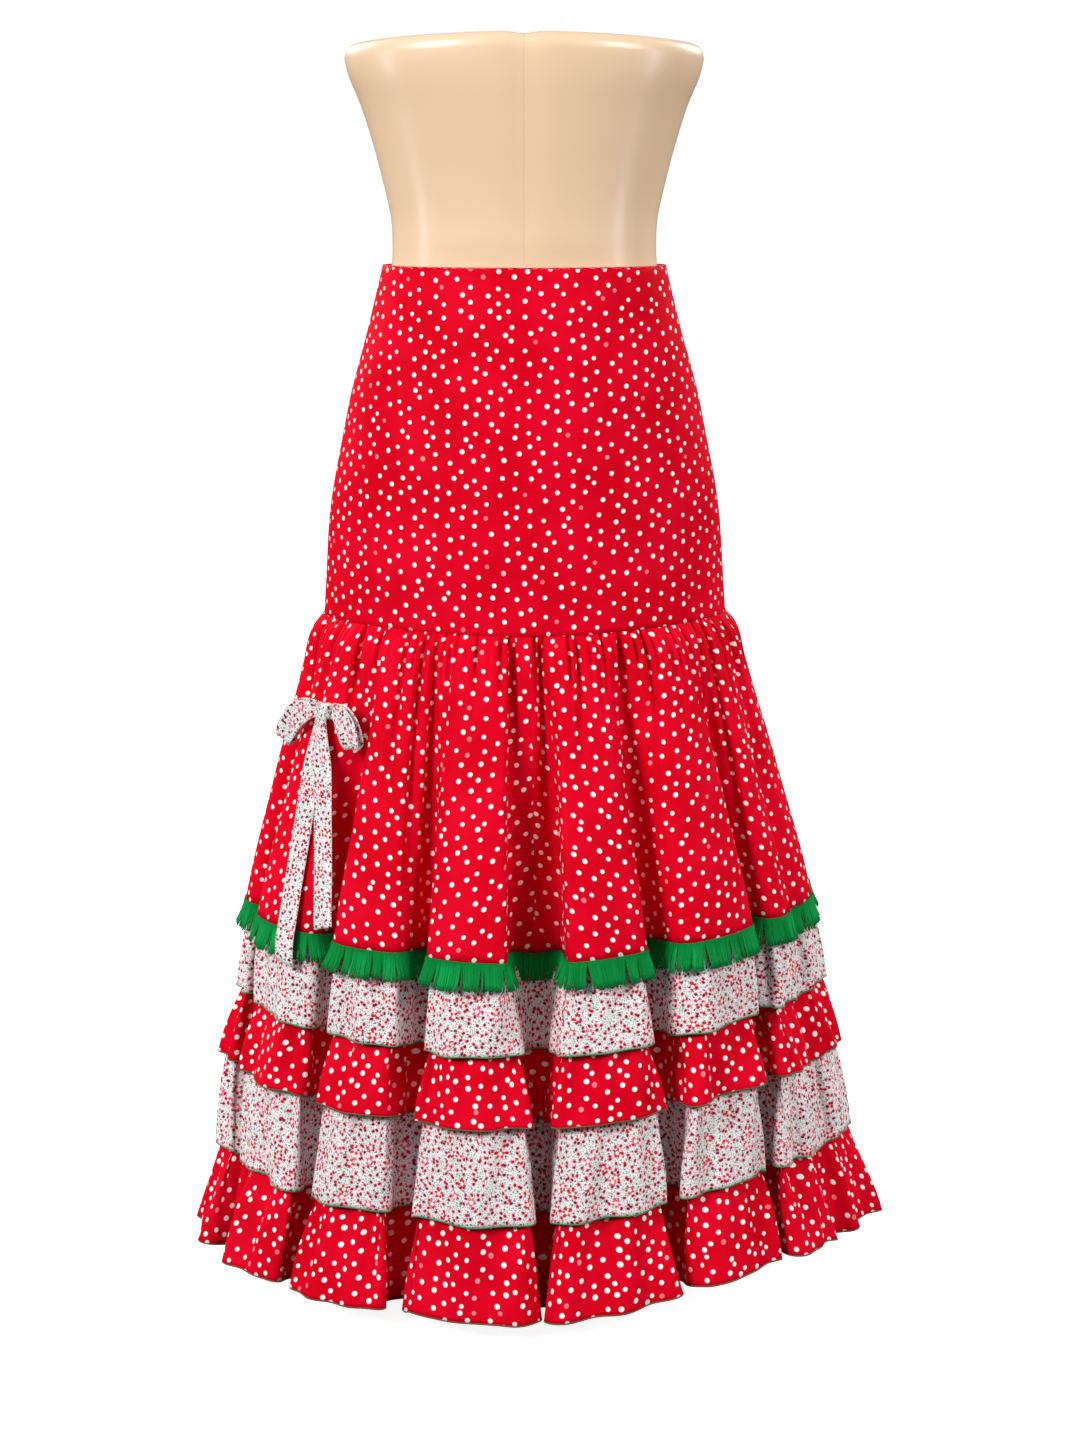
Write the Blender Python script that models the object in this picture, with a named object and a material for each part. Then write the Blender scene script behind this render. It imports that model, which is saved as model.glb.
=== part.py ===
"""A long flamenco skirt worn on a limbless dress form, which stands on a pole and a round base.

Metres, +Z up. The origin is the centre of the base's underside. The skirt's front faces -Y, and +X is
on the right of someone who looks at it. Heights in the skirt are given as a drop below its waist edge.
An azimuth is 0 degrees at the centre front and grows towards +X.
"""

import math
from collections import namedtuple

import bmesh
import bpy
import numpy as np
from mathutils import Vector

# Driving sizes of the skirt
FLOOR_GAP = 0.020
SKIRT_DROP = 0.900
WAIST_Z = FLOOR_GAP + SKIRT_DROP
CLOTH = 0.0015
SEAM_GAP = 0.0003
RUFFLE_GAP = 0.0008
SWAY = 0.009
SIDE_RISE = 0.011

# The fitted yoke, from the waist edge to the seam of the flounce
YokeRow = namedtuple("YokeRow", "drop half_width front back")
YOKE = [
    YokeRow(0.000, 0.1280, 0.0895, 0.0930),
    YokeRow(0.056, 0.1409, 0.0985, 0.1050),
    YokeRow(0.128, 0.1593, 0.1090, 0.1235),
    YokeRow(0.201, 0.1736, 0.1175, 0.1350),
    YokeRow(0.275, 0.1808, 0.1240, 0.1395),
    YokeRow(0.322, 0.1838, 0.1285, 0.1425),
]
SEAM_DROP = YOKE[-1].drop

# The outermost line that the falling folds reach, with the depth of the hollows between them. The neck
# is how far the crests spread over the hollows, and the undercut how far the hollows widen behind
# them, both as a share of a fold's width.
FallRow = namedtuple("FallRow", "drop half_width front back depth neck undercut")
FALL = [
    FallRow(0.322, 0.1838, 0.1285, 0.1425, 0.000, 0.000, 0.000),
    FallRow(0.334, 0.1930, 0.1390, 0.1520, 0.003, 0.010, 0.000),
    FallRow(0.368, 0.2048, 0.1570, 0.1680, 0.008, 0.035, 0.004),
    FallRow(0.405, 0.2154, 0.1720, 0.1815, 0.014, 0.060, 0.010),
    FallRow(0.490, 0.2385, 0.2015, 0.2085, 0.024, 0.095, 0.022),
    FallRow(0.592, 0.2640, 0.2330, 0.2385, 0.034, 0.120, 0.034),
    FallRow(0.672, 0.2740, 0.2440, 0.2490, 0.036, 0.140, 0.040),
    FallRow(0.733, 0.2895, 0.2570, 0.2615, 0.040, 0.150, 0.044),
    FallRow(0.818, 0.3000, 0.2650, 0.2695, 0.043, 0.165, 0.050),
    FallRow(0.900, 0.3197, 0.2830, 0.2870, 0.047, 0.165, 0.050),
]

# Each falling fold: the azimuth of the hollow where it starts, and how deep that hollow is
Fold = namedtuple("Fold", "start hollow")
FOLDS = [
    Fold(-91.0, 0.92),
    Fold(-70.0, 0.88),
    Fold(-47.3, 0.98),
    Fold(-23.3, 0.90),
    Fold(-0.3, 1.08),
    Fold(27.7, 1.10),
    Fold(48.5, 0.92),
    Fold(67.0, 0.88),
    Fold(88.0, 0.95),
    Fold(110.0, 0.88),
    Fold(132.0, 1.02),
    Fold(154.5, 0.95),
    Fold(177.0, 1.08),
    Fold(200.0, 0.98),
    Fold(223.0, 0.90),
    Fold(246.0, 1.00),
]
HOLLOW_NARROWING = 1.3
POINTS_PER_FOLD = 10
RING_POINTS = POINTS_PER_FOLD * len(FOLDS)
CURVE_STEPS = 12
MITRE_FLOOR = 0.6

# The flounce, and how far every second point of its rings is drawn in by the gathers
FlounceRow = namedtuple("FlounceRow", "drop gather")
FLOUNCE = [
    FlounceRow(SEAM_DROP + SEAM_GAP, 0.0012),
    FlounceRow(0.336, 0.0040),
    FlounceRow(0.374, 0.0032),
    FlounceRow(0.480, 0.0008),
    FlounceRow(0.592, 0.0000),
]

# The four ruffles: each is sewn inside the tier above it, leaves that tier's hem at the inset, and
# flares to its own hem
Ruffle = namedtuple("Ruffle", "name top inset hem")
RUFFLES = [
    Ruffle("ruffle_1_floral", 0.568, 0.0030, 0.672),
    Ruffle("ruffle_2_dots", 0.650, 0.0050, 0.733),
    Ruffle("ruffle_3_floral", 0.709, 0.0065, 0.818),
    Ruffle("ruffle_4_dots", 0.794, 0.0045, 0.900),
]

# The fringe under the flounce's hem: a narrow tape and the locks cut from it
TAPE_HEIGHT = 0.0045
TAPE_CLOTH = 0.0014
LOCK_LENGTH = 0.0190
LOCK_FLARE = 0.0040
LOCK_TIP_SHARE = 0.62

# The ribbon bow on the left of the front
RIBBON_WIDTH = 0.021
RIBBON_CLOTH = 0.0012
BOW_FACING = -40.0
BOW_AZIMUTH = -56.5
BOW_DROP = 0.391
KNOT_WIDTH = 0.015
KNOT_HEIGHT = 0.016
KNOT_DEPTH = 0.013
KNOT_GAP = 0.0006
LoopRow = namedtuple("LoopRow", "side up lift half_width half_gap")
LEFT_LOOP = [
    LoopRow(-(KNOT_WIDTH / 2 + KNOT_GAP), 0.0010, 0.0000, 0.0055, 0.0022),
    LoopRow(-0.0210, 0.0010, 0.0015, 0.0098, 0.0052),
    LoopRow(-0.0350, -0.0070, 0.0015, 0.0112, 0.0066),
    LoopRow(-0.0440, -0.0185, 0.0000, 0.0110, 0.0056),
    LoopRow(-0.0500, -0.0295, 0.0000, 0.0098, 0.0012),
]
RIGHT_LOOP = [
    LoopRow(KNOT_WIDTH / 2 + KNOT_GAP, 0.0010, 0.0010, 0.0055, 0.0022),
    LoopRow(0.0200, 0.0005, 0.0045, 0.0095, 0.0050),
    LoopRow(0.0310, -0.0070, 0.0070, 0.0110, 0.0062),
    LoopRow(0.0370, -0.0185, 0.0080, 0.0108, 0.0052),
    LoopRow(0.0380, -0.0295, 0.0080, 0.0096, 0.0012),
]
TAIL_TOP = BOW_DROP + KNOT_HEIGHT / 2 + SEAM_GAP
TailRow = namedtuple("TailRow", "azimuth drop lift")
LEFT_TAIL = [
    TailRow(-57.0, TAIL_TOP, 0.0042),
    TailRow(-56.4, 0.4400, 0.0030),
    TailRow(-55.4, 0.4900, 0.0028),
    TailRow(-54.4, 0.5400, 0.0028),
    TailRow(-53.4, 0.5800, 0.0050),
    TailRow(-52.8, 0.6030, 0.0078),
    TailRow(-52.5, 0.6180, 0.0074),
]
RIGHT_TAIL = [
    TailRow(-54.6, TAIL_TOP, 0.0086),
    TailRow(-51.4, 0.4400, 0.0068),
    TailRow(-48.0, 0.4900, 0.0050),
    TailRow(-45.2, 0.5350, 0.0040),
    TailRow(-43.0, 0.5800, 0.0040),
]

# The dress form: its outline above the waist, and how it fills the yoke below
FormRow = namedtuple("FormRow", "height half_width front back")
FORM_TORSO = [
    FormRow(0.021, 0.1191, 0.0835, 0.0870),
    FormRow(0.039, 0.1199, 0.0845, 0.0875),
    FormRow(0.075, 0.1273, 0.0885, 0.0915),
    FormRow(0.110, 0.1365, 0.0945, 0.0965),
    FormRow(0.145, 0.1478, 0.1010, 0.1025),
    FormRow(0.174, 0.1580, 0.1065, 0.1070),
    FormRow(0.187, 0.1603, 0.1078, 0.1082),
]
FORM_FOOT = [
    FormRow(-0.322, 0.1775, 0.1215, 0.1355),
    FormRow(-0.352, 0.1745, 0.1180, 0.1320),
    FormRow(-0.366, 0.1700, 0.1135, 0.1275),
    FormRow(-0.372, 0.1600, 0.1040, 0.1180),
]
CapRow = namedtuple("CapRow", "height share")
FORM_CAP = [
    CapRow(0.1905, 0.985),
    CapRow(0.1925, 0.950),
    CapRow(0.1945, 0.800),
    CapRow(0.1975, 0.400),
]
RIM_RISE = 0.0060
RISE_START = 0.145
FORM_TOP = 0.1985
FORM_POINTS = 36
HIP_EASE = 0.0004
WAIST_EASE = 0.0062
EASE_DROP = 0.090

# The pole with its flange, and the round base with its socket
FLANGE_RADIUS = 0.048
FLANGE_THICK = 0.006
POLE_RADIUS = 0.0125
BASE_RADIUS = 0.170
BASE_THICK = 0.008
BASE_EDGE = 0.002
SOCKET_RADIUS = 0.022
SOCKET_TOP = 0.045
SOCKET_FLOOR = 0.005
SOCKET_CLEARANCE = 0.0003
TURNED_STEPS = 32


def interpolated(rows, drop):
    """The row of a table at any drop, with every column on one smooth curve through the rows."""
    table = np.array(rows, float)
    at = table[:, 0] * (1 if table[-1, 0] > table[0, 0] else -1)
    want = drop * (1 if table[-1, 0] > table[0, 0] else -1)
    low = int(np.clip(np.searchsorted(at, want) - 1, 0, len(at) - 2))
    slope = np.gradient(table, at, axis=0)
    width = at[low + 1] - at[low]
    t = min(max((want - at[low]) / width, 0.0), 1.0)
    start, end = table[low], table[low + 1]
    curve = (
        (2 * t**3 - 3 * t**2 + 1) * start
        + (t**3 - 2 * t**2 + t) * width * slope[low]
        + (-2 * t**3 + 3 * t**2) * end
        + (t**3 - t**2) * width * slope[low + 1]
    )
    return type(rows[0])(*curve)


def oval(row, azimuth):
    """Points of an oval whose front and back halves have their own depth, for azimuths in radians."""
    depth = np.where(np.cos(azimuth) > 0, row.front, row.back)
    return np.stack([row.half_width * np.sin(azimuth), -depth * np.cos(azimuth)], axis=-1)


def oval_outward(row, azimuth):
    """Unit normals of that oval."""
    depth = np.where(np.cos(azimuth) > 0, row.front, row.back)
    normal = np.stack([np.sin(azimuth) / row.half_width, -np.cos(azimuth) / depth], axis=-1)
    return normal / np.linalg.norm(normal, axis=-1, keepdims=True)


def outward(ring):
    """The way out at each corner of a closed ring: moved by it, both edges there move by one unit."""
    edge = np.roll(ring, -1, axis=0) - ring
    edge_normal = np.stack([edge[:, 1], -edge[:, 0]], axis=-1)
    edge_normal /= np.linalg.norm(edge_normal, axis=-1, keepdims=True)
    total = edge_normal + np.roll(edge_normal, 1, axis=0)
    return total / np.maximum(np.sum(total * edge_normal, axis=-1, keepdims=True), MITRE_FLOOR)


def moved(ring, distance):
    """The ring with its edges moved out by a distance; a negative distance moves them in."""
    return ring + outward(ring) * np.reshape(distance, (-1, 1))


def fall_curve(drop):
    """A close-stepped curve of the falling folds at a drop: broad crests, with narrow hollows between."""
    row = interpolated(FALL, drop)
    starts = [fold.start for fold in FOLDS] + [FOLDS[0].start + 360.0]
    hollows = np.array([fold.hollow for fold in FOLDS] + [FOLDS[0].hollow])
    steps = POINTS_PER_FOLD * CURVE_STEPS
    turn = np.arange(steps * len(FOLDS)) / steps
    fold, place = turn.astype(int), turn % 1.0
    along = place - row.neck * np.sin(2 * np.pi * place) + row.undercut * np.sin(4 * np.pi * place)
    azimuth = np.radians(np.interp(fold + along, np.arange(len(starts)), starts))
    hollow = hollows[fold + (place > 0.5)]
    inwards = ((1 + np.cos(2 * np.pi * place)) / 2) ** HOLLOW_NARROWING * hollow * row.depth
    curve = oval(row, azimuth) - oval_outward(row, azimuth) * inwards[:, None]
    curve[:, 0] += sway(drop)
    return curve


def fall_ring(drop):
    """The ring of a wall at a drop: the points of each fold are equally far apart along its curve."""
    curve = fall_curve(drop)
    steps = POINTS_PER_FOLD * CURVE_STEPS
    points = []
    for fold in range(len(FOLDS)):
        run = np.take(curve, np.arange(fold * steps, (fold + 1) * steps + 1), axis=0, mode="wrap")
        length = np.append(0.0, np.cumsum(np.linalg.norm(np.diff(run, axis=0), axis=1)))
        want = np.arange(POINTS_PER_FOLD) / POINTS_PER_FOLD * length[-1]
        points.append(np.column_stack([np.interp(want, length, run[:, i]) for i in (0, 1)]))
    return np.concatenate(points)


def sway(drop):
    """The skirt hangs a little towards +X as it falls."""
    share = (drop - SEAM_DROP) / (SKIRT_DROP - SEAM_DROP)
    return SWAY * min(max(share, 0.0), 1.0)


def gathered(ring, depth):
    """Every second point drawn in, as small gathers."""
    return moved(ring, -depth * (np.arange(len(ring)) % 2))


def raised(ring, z):
    """The ring in space: at one height, or with a height for each point."""
    return np.column_stack([ring, np.broadcast_to(z, len(ring))])


def solid_from_layers(name, outer, inner, closed, material):
    """A cloth wall between two grids of points of the same size: rows of points, going down.

    A closed wall runs all round. An open one gets an end face on each side.
    """
    outer, inner = np.array(outer), np.array(inner)
    rows, columns = outer.shape[:2]
    mesh = bmesh.new()
    front = [[mesh.verts.new(p) for p in row] for row in outer]
    back = [[mesh.verts.new(p) for p in row] for row in inner]
    steps = columns if closed else columns - 1
    for r in range(rows - 1):
        for c in range(steps):
            d = (c + 1) % columns
            mesh.faces.new((front[r][c], front[r + 1][c], front[r + 1][d], front[r][d]))
            mesh.faces.new((back[r][d], back[r + 1][d], back[r + 1][c], back[r][c]))
    for c in range(steps):
        d = (c + 1) % columns
        mesh.faces.new((front[0][c], front[0][d], back[0][d], back[0][c]))
        mesh.faces.new((back[-1][c], back[-1][d], front[-1][d], front[-1][c]))
    if not closed:
        for r in range(rows - 1):
            mesh.faces.new((front[r][0], back[r][0], back[r + 1][0], front[r + 1][0]))
            mesh.faces.new((front[r][-1], front[r + 1][-1], back[r + 1][-1], back[r][-1]))
    return cloth_piece(name, mesh, material)


def raised_at_sides(mesh):
    """The skirt hangs a little higher over the hips than at the front and the back."""
    for vert in mesh.verts:
        x, y, z = vert.co
        share = min(max((WAIST_Z - z) / FLOUNCE[-1].drop, 0.0), 1.0)
        vert.co.z += SIDE_RISE * share * x**2 / (x**2 + y**2)


def cloth_piece(name, mesh, material):
    """The object of a piece of the skirt."""
    raised_at_sides(mesh)
    return finished(name, mesh, material)


def finished(name, mesh, material):
    """The object of a bmesh, shaded smooth between its sharp edges."""
    data = bpy.data.meshes.new(name)
    mesh.to_mesh(data)
    mesh.free()
    data.materials.append(material)
    data.shade_smooth()
    data.set_sharp_from_angle(angle=math.radians(50))
    obj = bpy.data.objects.new(name, data)
    bpy.context.scene.collection.objects.link(obj)
    return obj


def painted(name, colour, roughness, metallic=0.0):
    """A plain surface: its colour, roughness and metallic value."""
    material = bpy.data.materials.new(name)
    material.use_nodes = True
    shader = material.node_tree.nodes["Principled BSDF"]
    shader.inputs["Base Color"].default_value = (*colour, 1.0)
    shader.inputs["Roughness"].default_value = roughness
    shader.inputs["Metallic"].default_value = metallic
    return material


def yoke_panel(name, start, end, columns, material):
    """One fitted panel between two azimuths in degrees, parted from its neighbours by the seam gap."""
    half_gap = math.degrees(SEAM_GAP / 2 / YOKE[0].front)
    azimuth = np.radians(np.linspace(start + half_gap, end - half_gap, columns + 1))
    outer, inner = [], []
    for row in YOKE:
        line = oval(row, azimuth)
        inside = line - oval_outward(row, azimuth) * CLOTH
        outer.append(raised(line, WAIST_Z - row.drop))
        inner.append(raised(inside, WAIST_Z - row.drop))
    return solid_from_layers(name, outer, inner, False, material)


def wall_from_rings(name, rings, drops, material, cloth=CLOTH):
    """A tube of cloth through rings of points, each at its own drop; returns its inner rings."""
    inside = [moved(ring, -cloth) for ring in rings]
    outer = [raised(ring, WAIST_Z - drop) for ring, drop in zip(rings, drops)]
    inner = [raised(ring, WAIST_Z - drop) for ring, drop in zip(inside, drops)]
    solid_from_layers(name, outer, inner, True, material)
    return inside


def flounce_rings():
    """The flounce's rings: gathered under the yoke, and falling in folds."""
    return [gathered(fall_ring(row.drop), row.gather) for row in FLOUNCE]


def ring_between(rings, drops, drop):
    """The ring that a wall has at a drop between two of its own rings."""
    low = max(i for i, d in enumerate(drops[:-1]) if d <= drop)
    share = (drop - drops[low]) / (drops[low + 1] - drops[low])
    return rings[low] * (1 - share) + rings[low + 1] * share


def ruffle_rings(ruffle, above, above_drops):
    """A ruffle's rings: its top and its waist, inside the inner rings of the tier above, and its hem."""
    top = moved(ring_between(above, above_drops, ruffle.top), -RUFFLE_GAP)
    waist = moved(above[-1], -RUFFLE_GAP - ruffle.inset)
    return [top, waist, fall_ring(ruffle.hem)]


def fringe(name, hem_ring, hem_drop, material):
    """The tape below the flounce's hem, and one tapered lock drawn down from each of its cells."""
    tape_top = hem_drop + SEAM_GAP
    tape_foot = tape_top + TAPE_HEIGHT
    lock_foot = tape_foot + LOCK_LENGTH
    flare = hem_ring + outward(hem_ring) * LOCK_FLARE * TAPE_HEIGHT / (TAPE_HEIGHT + LOCK_LENGTH)
    tip_ring = moved(hem_ring, LOCK_FLARE)
    levels = [(hem_ring, tape_top), (flare, tape_foot)]
    mesh = bmesh.new()
    outer, inner = [], []
    for ring, drop in levels:
        outer.append([mesh.verts.new(p) for p in raised(ring, WAIST_Z - drop)])
        inner.append([mesh.verts.new(p) for p in raised(moved(ring, -TAPE_CLOTH), WAIST_Z - drop)])
    tips_out = raised(tip_ring, WAIST_Z - lock_foot)
    tips_in = raised(moved(tip_ring, -TAPE_CLOTH), WAIST_Z - lock_foot)
    trim = (1 - LOCK_TIP_SHARE) / 2
    for c in range(RING_POINTS):
        d = (c + 1) % RING_POINTS
        mesh.faces.new((outer[0][c], outer[1][c], outer[1][d], outer[0][d]))
        mesh.faces.new((inner[0][d], inner[1][d], inner[1][c], inner[0][c]))
        mesh.faces.new((outer[0][c], outer[0][d], inner[0][d], inner[0][c]))
        root = (outer[1][c], outer[1][d], inner[1][d], inner[1][c])
        tip = [
            mesh.verts.new(line[a] * (1 - trim) + line[b] * trim)
            for line, a, b in ((tips_out, c, d), (tips_out, d, c), (tips_in, d, c), (tips_in, c, d))
        ]
        for i in range(4):
            j = (i + 1) % 4
            mesh.faces.new((root[i], tip[i], tip[j], root[j]))
        mesh.faces.new(reversed(tip))
    return cloth_piece(name, mesh, material)


def bow_axes():
    """The bow's own directions: out from the skirt, to the side and up, as it faces."""
    facing = math.radians(BOW_FACING)
    out = Vector((math.sin(facing), -math.cos(facing), 0.0))
    side = Vector((math.cos(facing), math.sin(facing), 0.0))
    return out, side, Vector((0.0, 0.0, 1.0))


def outline_point(azimuth_degrees, drop, lift):
    """A point that stands off the outermost line of the folds."""
    row = interpolated(FALL, drop)
    azimuth = np.array(math.radians(azimuth_degrees))
    x, y = oval(row, azimuth) + oval_outward(row, azimuth) * lift
    return Vector((x + sway(drop), y, WAIST_Z - drop))


def knot_centre(flounce, drops):
    """The knot's middle: its flat back stands just off the flounce's furthest point behind it."""
    out, side, _ = bow_axes()
    near = outline_point(BOW_AZIMUTH, BOW_DROP, 0.0)
    reach = -math.inf
    for share in np.linspace(-0.5, 0.5, 5):
        ring = ring_between(flounce, drops, BOW_DROP + share * KNOT_HEIGHT)
        for start, end in zip(ring, np.roll(ring, -1, axis=0)):
            for t in np.linspace(0, 1, 6):
                x, y = start * (1 - t) + end * t
                offset = Vector((x, y, near.z)) - near
                if abs(offset.dot(side)) < KNOT_WIDTH / 2:
                    reach = max(reach, offset.dot(out))
    return near + out * (reach + SEAM_GAP + KNOT_DEPTH / 2)


def bow_knot(name, centre, material):
    """The knot: a rounded block with a flat back, wrapped by one turn of ribbon."""
    out, side, up = bow_axes()
    mesh = bmesh.new()
    bmesh.ops.create_cube(mesh, size=1.0)
    for vert in mesh.verts:
        x, y, z = vert.co
        vert.co = centre + side * (x * KNOT_WIDTH) + out * (-y * KNOT_DEPTH) + up * (z * KNOT_HEIGHT)
    bmesh.ops.recalc_face_normals(mesh, faces=mesh.faces)
    rounded = [e for e in mesh.edges if sum((v.co - centre).dot(out) > 0 for v in e.verts) > 0]
    bmesh.ops.bevel(mesh, geom=rounded, offset=KNOT_DEPTH * 0.3, segments=2, affect="EDGES", profile=0.5)
    return cloth_piece(name, mesh, material)


def bow_loop(name, rows, centre, material):
    """A loop of ribbon: out from the knot on the front, round its end and back behind."""
    out, side, up = bow_axes()
    middle = [centre + side * row.side + up * row.up + out * row.lift for row in rows]
    widths = [row.half_width for row in rows]
    path = [(m, out * row.half_gap, w) for m, row, w in zip(middle, rows, widths)]
    end = middle[-1] + (middle[-1] - middle[-2]).normalized() * rows[-1].half_gap
    path.append((end, out * 0.0, widths[-1]))
    path += [(m, -out * row.half_gap, w) for m, row, w in reversed(list(zip(middle, rows, widths)))]
    centres = [m + gap for m, gap, _ in path]
    outer, inner = [], []
    for i, (middle_point, _, half_width) in enumerate(path):
        before, after = centres[max(i - 1, 0)], centres[min(i + 1, len(path) - 1)]
        along = (after - before).normalized()
        run = middle[1] - middle[0]
        station = min(i, len(path) - 1 - i)
        if station > 0:
            run = middle[min(station, len(middle) - 1)] - middle[min(station, len(middle) - 1) - 1]
        across = out.cross(run).normalized()
        thick = across.cross(along).normalized() * RIBBON_CLOTH / 2
        outer.append([centres[i] + across * half_width + thick, centres[i] - across * half_width + thick])
        inner.append([centres[i] + across * half_width - thick, centres[i] - across * half_width - thick])
    return solid_from_layers(name, outer, inner, False, material)


def bow_tail(name, rows, material):
    """A tail of ribbon that hangs down the folds, with a slanted cut at its end."""
    out, side, up = bow_axes()
    slant = RIBBON_WIDTH * 0.30
    outer, inner = [], []
    for i, row in enumerate(rows):
        centre = outline_point(row.azimuth, row.drop, row.lift)
        cut = up * slant / 2 if i == len(rows) - 1 else up * 0.0
        left, right = centre - side * RIBBON_WIDTH / 2 - cut, centre + side * RIBBON_WIDTH / 2 + cut
        cup = out * (RIBBON_WIDTH * 0.06)
        outer.append([left, centre + cup, right])
        inner.append([p - out * RIBBON_CLOTH for p in outer[-1]])
    return solid_from_layers(name, outer, inner, False, material)


def form_rows():
    """The form's rows from its foot to the shoulder of its cap; within the yoke it fills the cloth."""
    rows = list(reversed(FORM_FOOT))
    for yoke in reversed(YOKE[:-1]):
        ease = HIP_EASE + WAIST_EASE * max(0.0, 1 - yoke.drop / EASE_DROP) ** 2
        inside = CLOTH + ease
        rows.append(
            FormRow(-yoke.drop, yoke.half_width - inside, yoke.front - inside, yoke.back - inside)
        )
    return rows + FORM_TORSO


def dress_form(name, material):
    """The smooth limbless torso: closed below by a flat foot and above by a low dome."""
    azimuth = np.linspace(0, 2 * np.pi, FORM_POINTS, endpoint=False)
    rows = form_rows()
    shoulder = rows[-1]
    for cap in FORM_CAP:
        scaled = [size * cap.share for size in (shoulder.half_width, shoulder.front, shoulder.back)]
        rows.append(FormRow(cap.height, *scaled))
    mesh = bmesh.new()
    rings = []
    for row in rows:
        share = min(max((row.height - RISE_START) / (shoulder.height - RISE_START), 0.0), 1.0)
        rise = RIM_RISE * share * (row.half_width / shoulder.half_width) ** 2
        height = WAIST_Z + row.height + rise * np.cos(azimuth) ** 2
        rings.append([mesh.verts.new(p) for p in raised(oval(row, azimuth), height)])
    for low, high in zip(rings, rings[1:]):
        for c in range(FORM_POINTS):
            d = (c + 1) % FORM_POINTS
            mesh.faces.new((low[c], low[d], high[d], high[c]))
    mesh.faces.new(list(reversed(rings[0])))
    top = mesh.verts.new((0.0, 0.0, WAIST_Z + FORM_TOP))
    for c in range(FORM_POINTS):
        mesh.faces.new((rings[-1][c], rings[-1][(c + 1) % FORM_POINTS], top))
    return finished(name, mesh, material)


def turned(name, profile, material):
    """A piece turned about the Z axis, from (radius, height) points that start and end on the axis."""
    mesh = bmesh.new()
    verts = [mesh.verts.new((radius, 0.0, height)) for radius, height in profile]
    edges = [mesh.edges.new(pair) for pair in zip(verts, verts[1:])]
    bmesh.ops.spin(
        mesh,
        geom=verts + edges,
        axis=(0, 0, 1),
        cent=(0, 0, 0),
        angle=2 * math.pi,
        steps=TURNED_STEPS,
        use_merge=True,
    )
    bmesh.ops.remove_doubles(mesh, verts=mesh.verts, dist=1e-6)
    bmesh.ops.recalc_face_normals(mesh, faces=mesh.faces)
    return finished(name, mesh, material)


def stand_pole(name, material):
    """The pole, from the socket in the base to the flange under the form."""
    foot = SOCKET_FLOOR + SEAM_GAP
    top = WAIST_Z + FORM_FOOT[-1].height - SEAM_GAP
    profile = [
        (0.0, foot),
        (POLE_RADIUS, foot),
        (POLE_RADIUS, top - FLANGE_THICK),
        (FLANGE_RADIUS, top - FLANGE_THICK),
        (FLANGE_RADIUS, top),
        (0.0, top),
    ]
    return turned(name, profile, material)


def stand_base(name, material):
    """The round base plate, with a raised socket that takes the pole."""
    bore = POLE_RADIUS + SOCKET_CLEARANCE
    profile = [
        (0.0, 0.0),
        (BASE_RADIUS - BASE_EDGE, 0.0),
        (BASE_RADIUS, BASE_EDGE),
        (BASE_RADIUS, BASE_THICK - BASE_EDGE),
        (BASE_RADIUS - BASE_EDGE, BASE_THICK),
        (SOCKET_RADIUS + BASE_EDGE, BASE_THICK),
        (SOCKET_RADIUS, BASE_THICK + BASE_EDGE),
        (SOCKET_RADIUS, SOCKET_TOP),
        (bore, SOCKET_TOP),
        (bore, SOCKET_FLOOR),
        (0.0, SOCKET_FLOOR),
    ]
    return turned(name, profile, material)


def build():
    for obj in list(bpy.data.objects):
        bpy.data.objects.remove(obj)

    yoke_cloth = painted("yoke_red_cloth", (0.760, 0.002, 0.017), 0.75)
    flounce_cloth = painted("flounce_red_cloth", (0.720, 0.002, 0.015), 0.75)
    dotted_cloth = painted("ruffle_red_cloth", (0.700, 0.003, 0.015), 0.75)
    floral_cloth = painted("ruffle_floral_cloth", (0.680, 0.520, 0.520), 0.80)
    fringe_yarn = painted("green_fringe_yarn", (0.005, 0.220, 0.045), 0.85)
    form_shell = painted("form_shell", (0.860, 0.610, 0.420), 0.45)
    stand_steel = painted("stand_steel", (0.600, 0.600, 0.610), 0.30, 1.0)

    yoke_panel("yoke_front", -90, 90, 28, yoke_cloth)
    yoke_panel("yoke_back_right", 90, 180, 14, yoke_cloth)
    yoke_panel("yoke_back_left", 180, 270, 14, yoke_cloth)

    flounce, drops = flounce_rings(), [row.drop for row in FLOUNCE]
    above = wall_from_rings("flounce", flounce, drops, flounce_cloth)
    fringe("hem_fringe", flounce[-1], drops[-1], fringe_yarn)
    for ruffle in RUFFLES:
        rings = ruffle_rings(ruffle, above, drops)
        drops = [ruffle.top, drops[-1], ruffle.hem]
        cloth = floral_cloth if "floral" in ruffle.name else dotted_cloth
        above = wall_from_rings(ruffle.name, rings, drops, cloth)

    centre = knot_centre(flounce, [row.drop for row in FLOUNCE])
    bow_knot("bow_knot", centre, floral_cloth)
    bow_loop("bow_loop_left", LEFT_LOOP, centre, floral_cloth)
    bow_loop("bow_loop_right", RIGHT_LOOP, centre, floral_cloth)
    bow_tail("bow_tail_left", LEFT_TAIL, floral_cloth)
    bow_tail("bow_tail_right", RIGHT_TAIL, floral_cloth)

    dress_form("dress_form", form_shell)
    stand_pole("stand_pole", stand_steel)
    stand_base("stand_base", stand_steel)


build()
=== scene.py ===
# %% [markdown]
# # A flamenco skirt on a limbless dress form
# The skirt is worn with nobody in it: a fitted yoke, a gathered flounce with a green fringe, four
# ruffles and a ribbon bow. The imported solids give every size. This lesson lays finer cloth over them,
# piece by piece, and gives each piece its finish.

# %% Load the solids
import math
from collections import namedtuple

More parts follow.
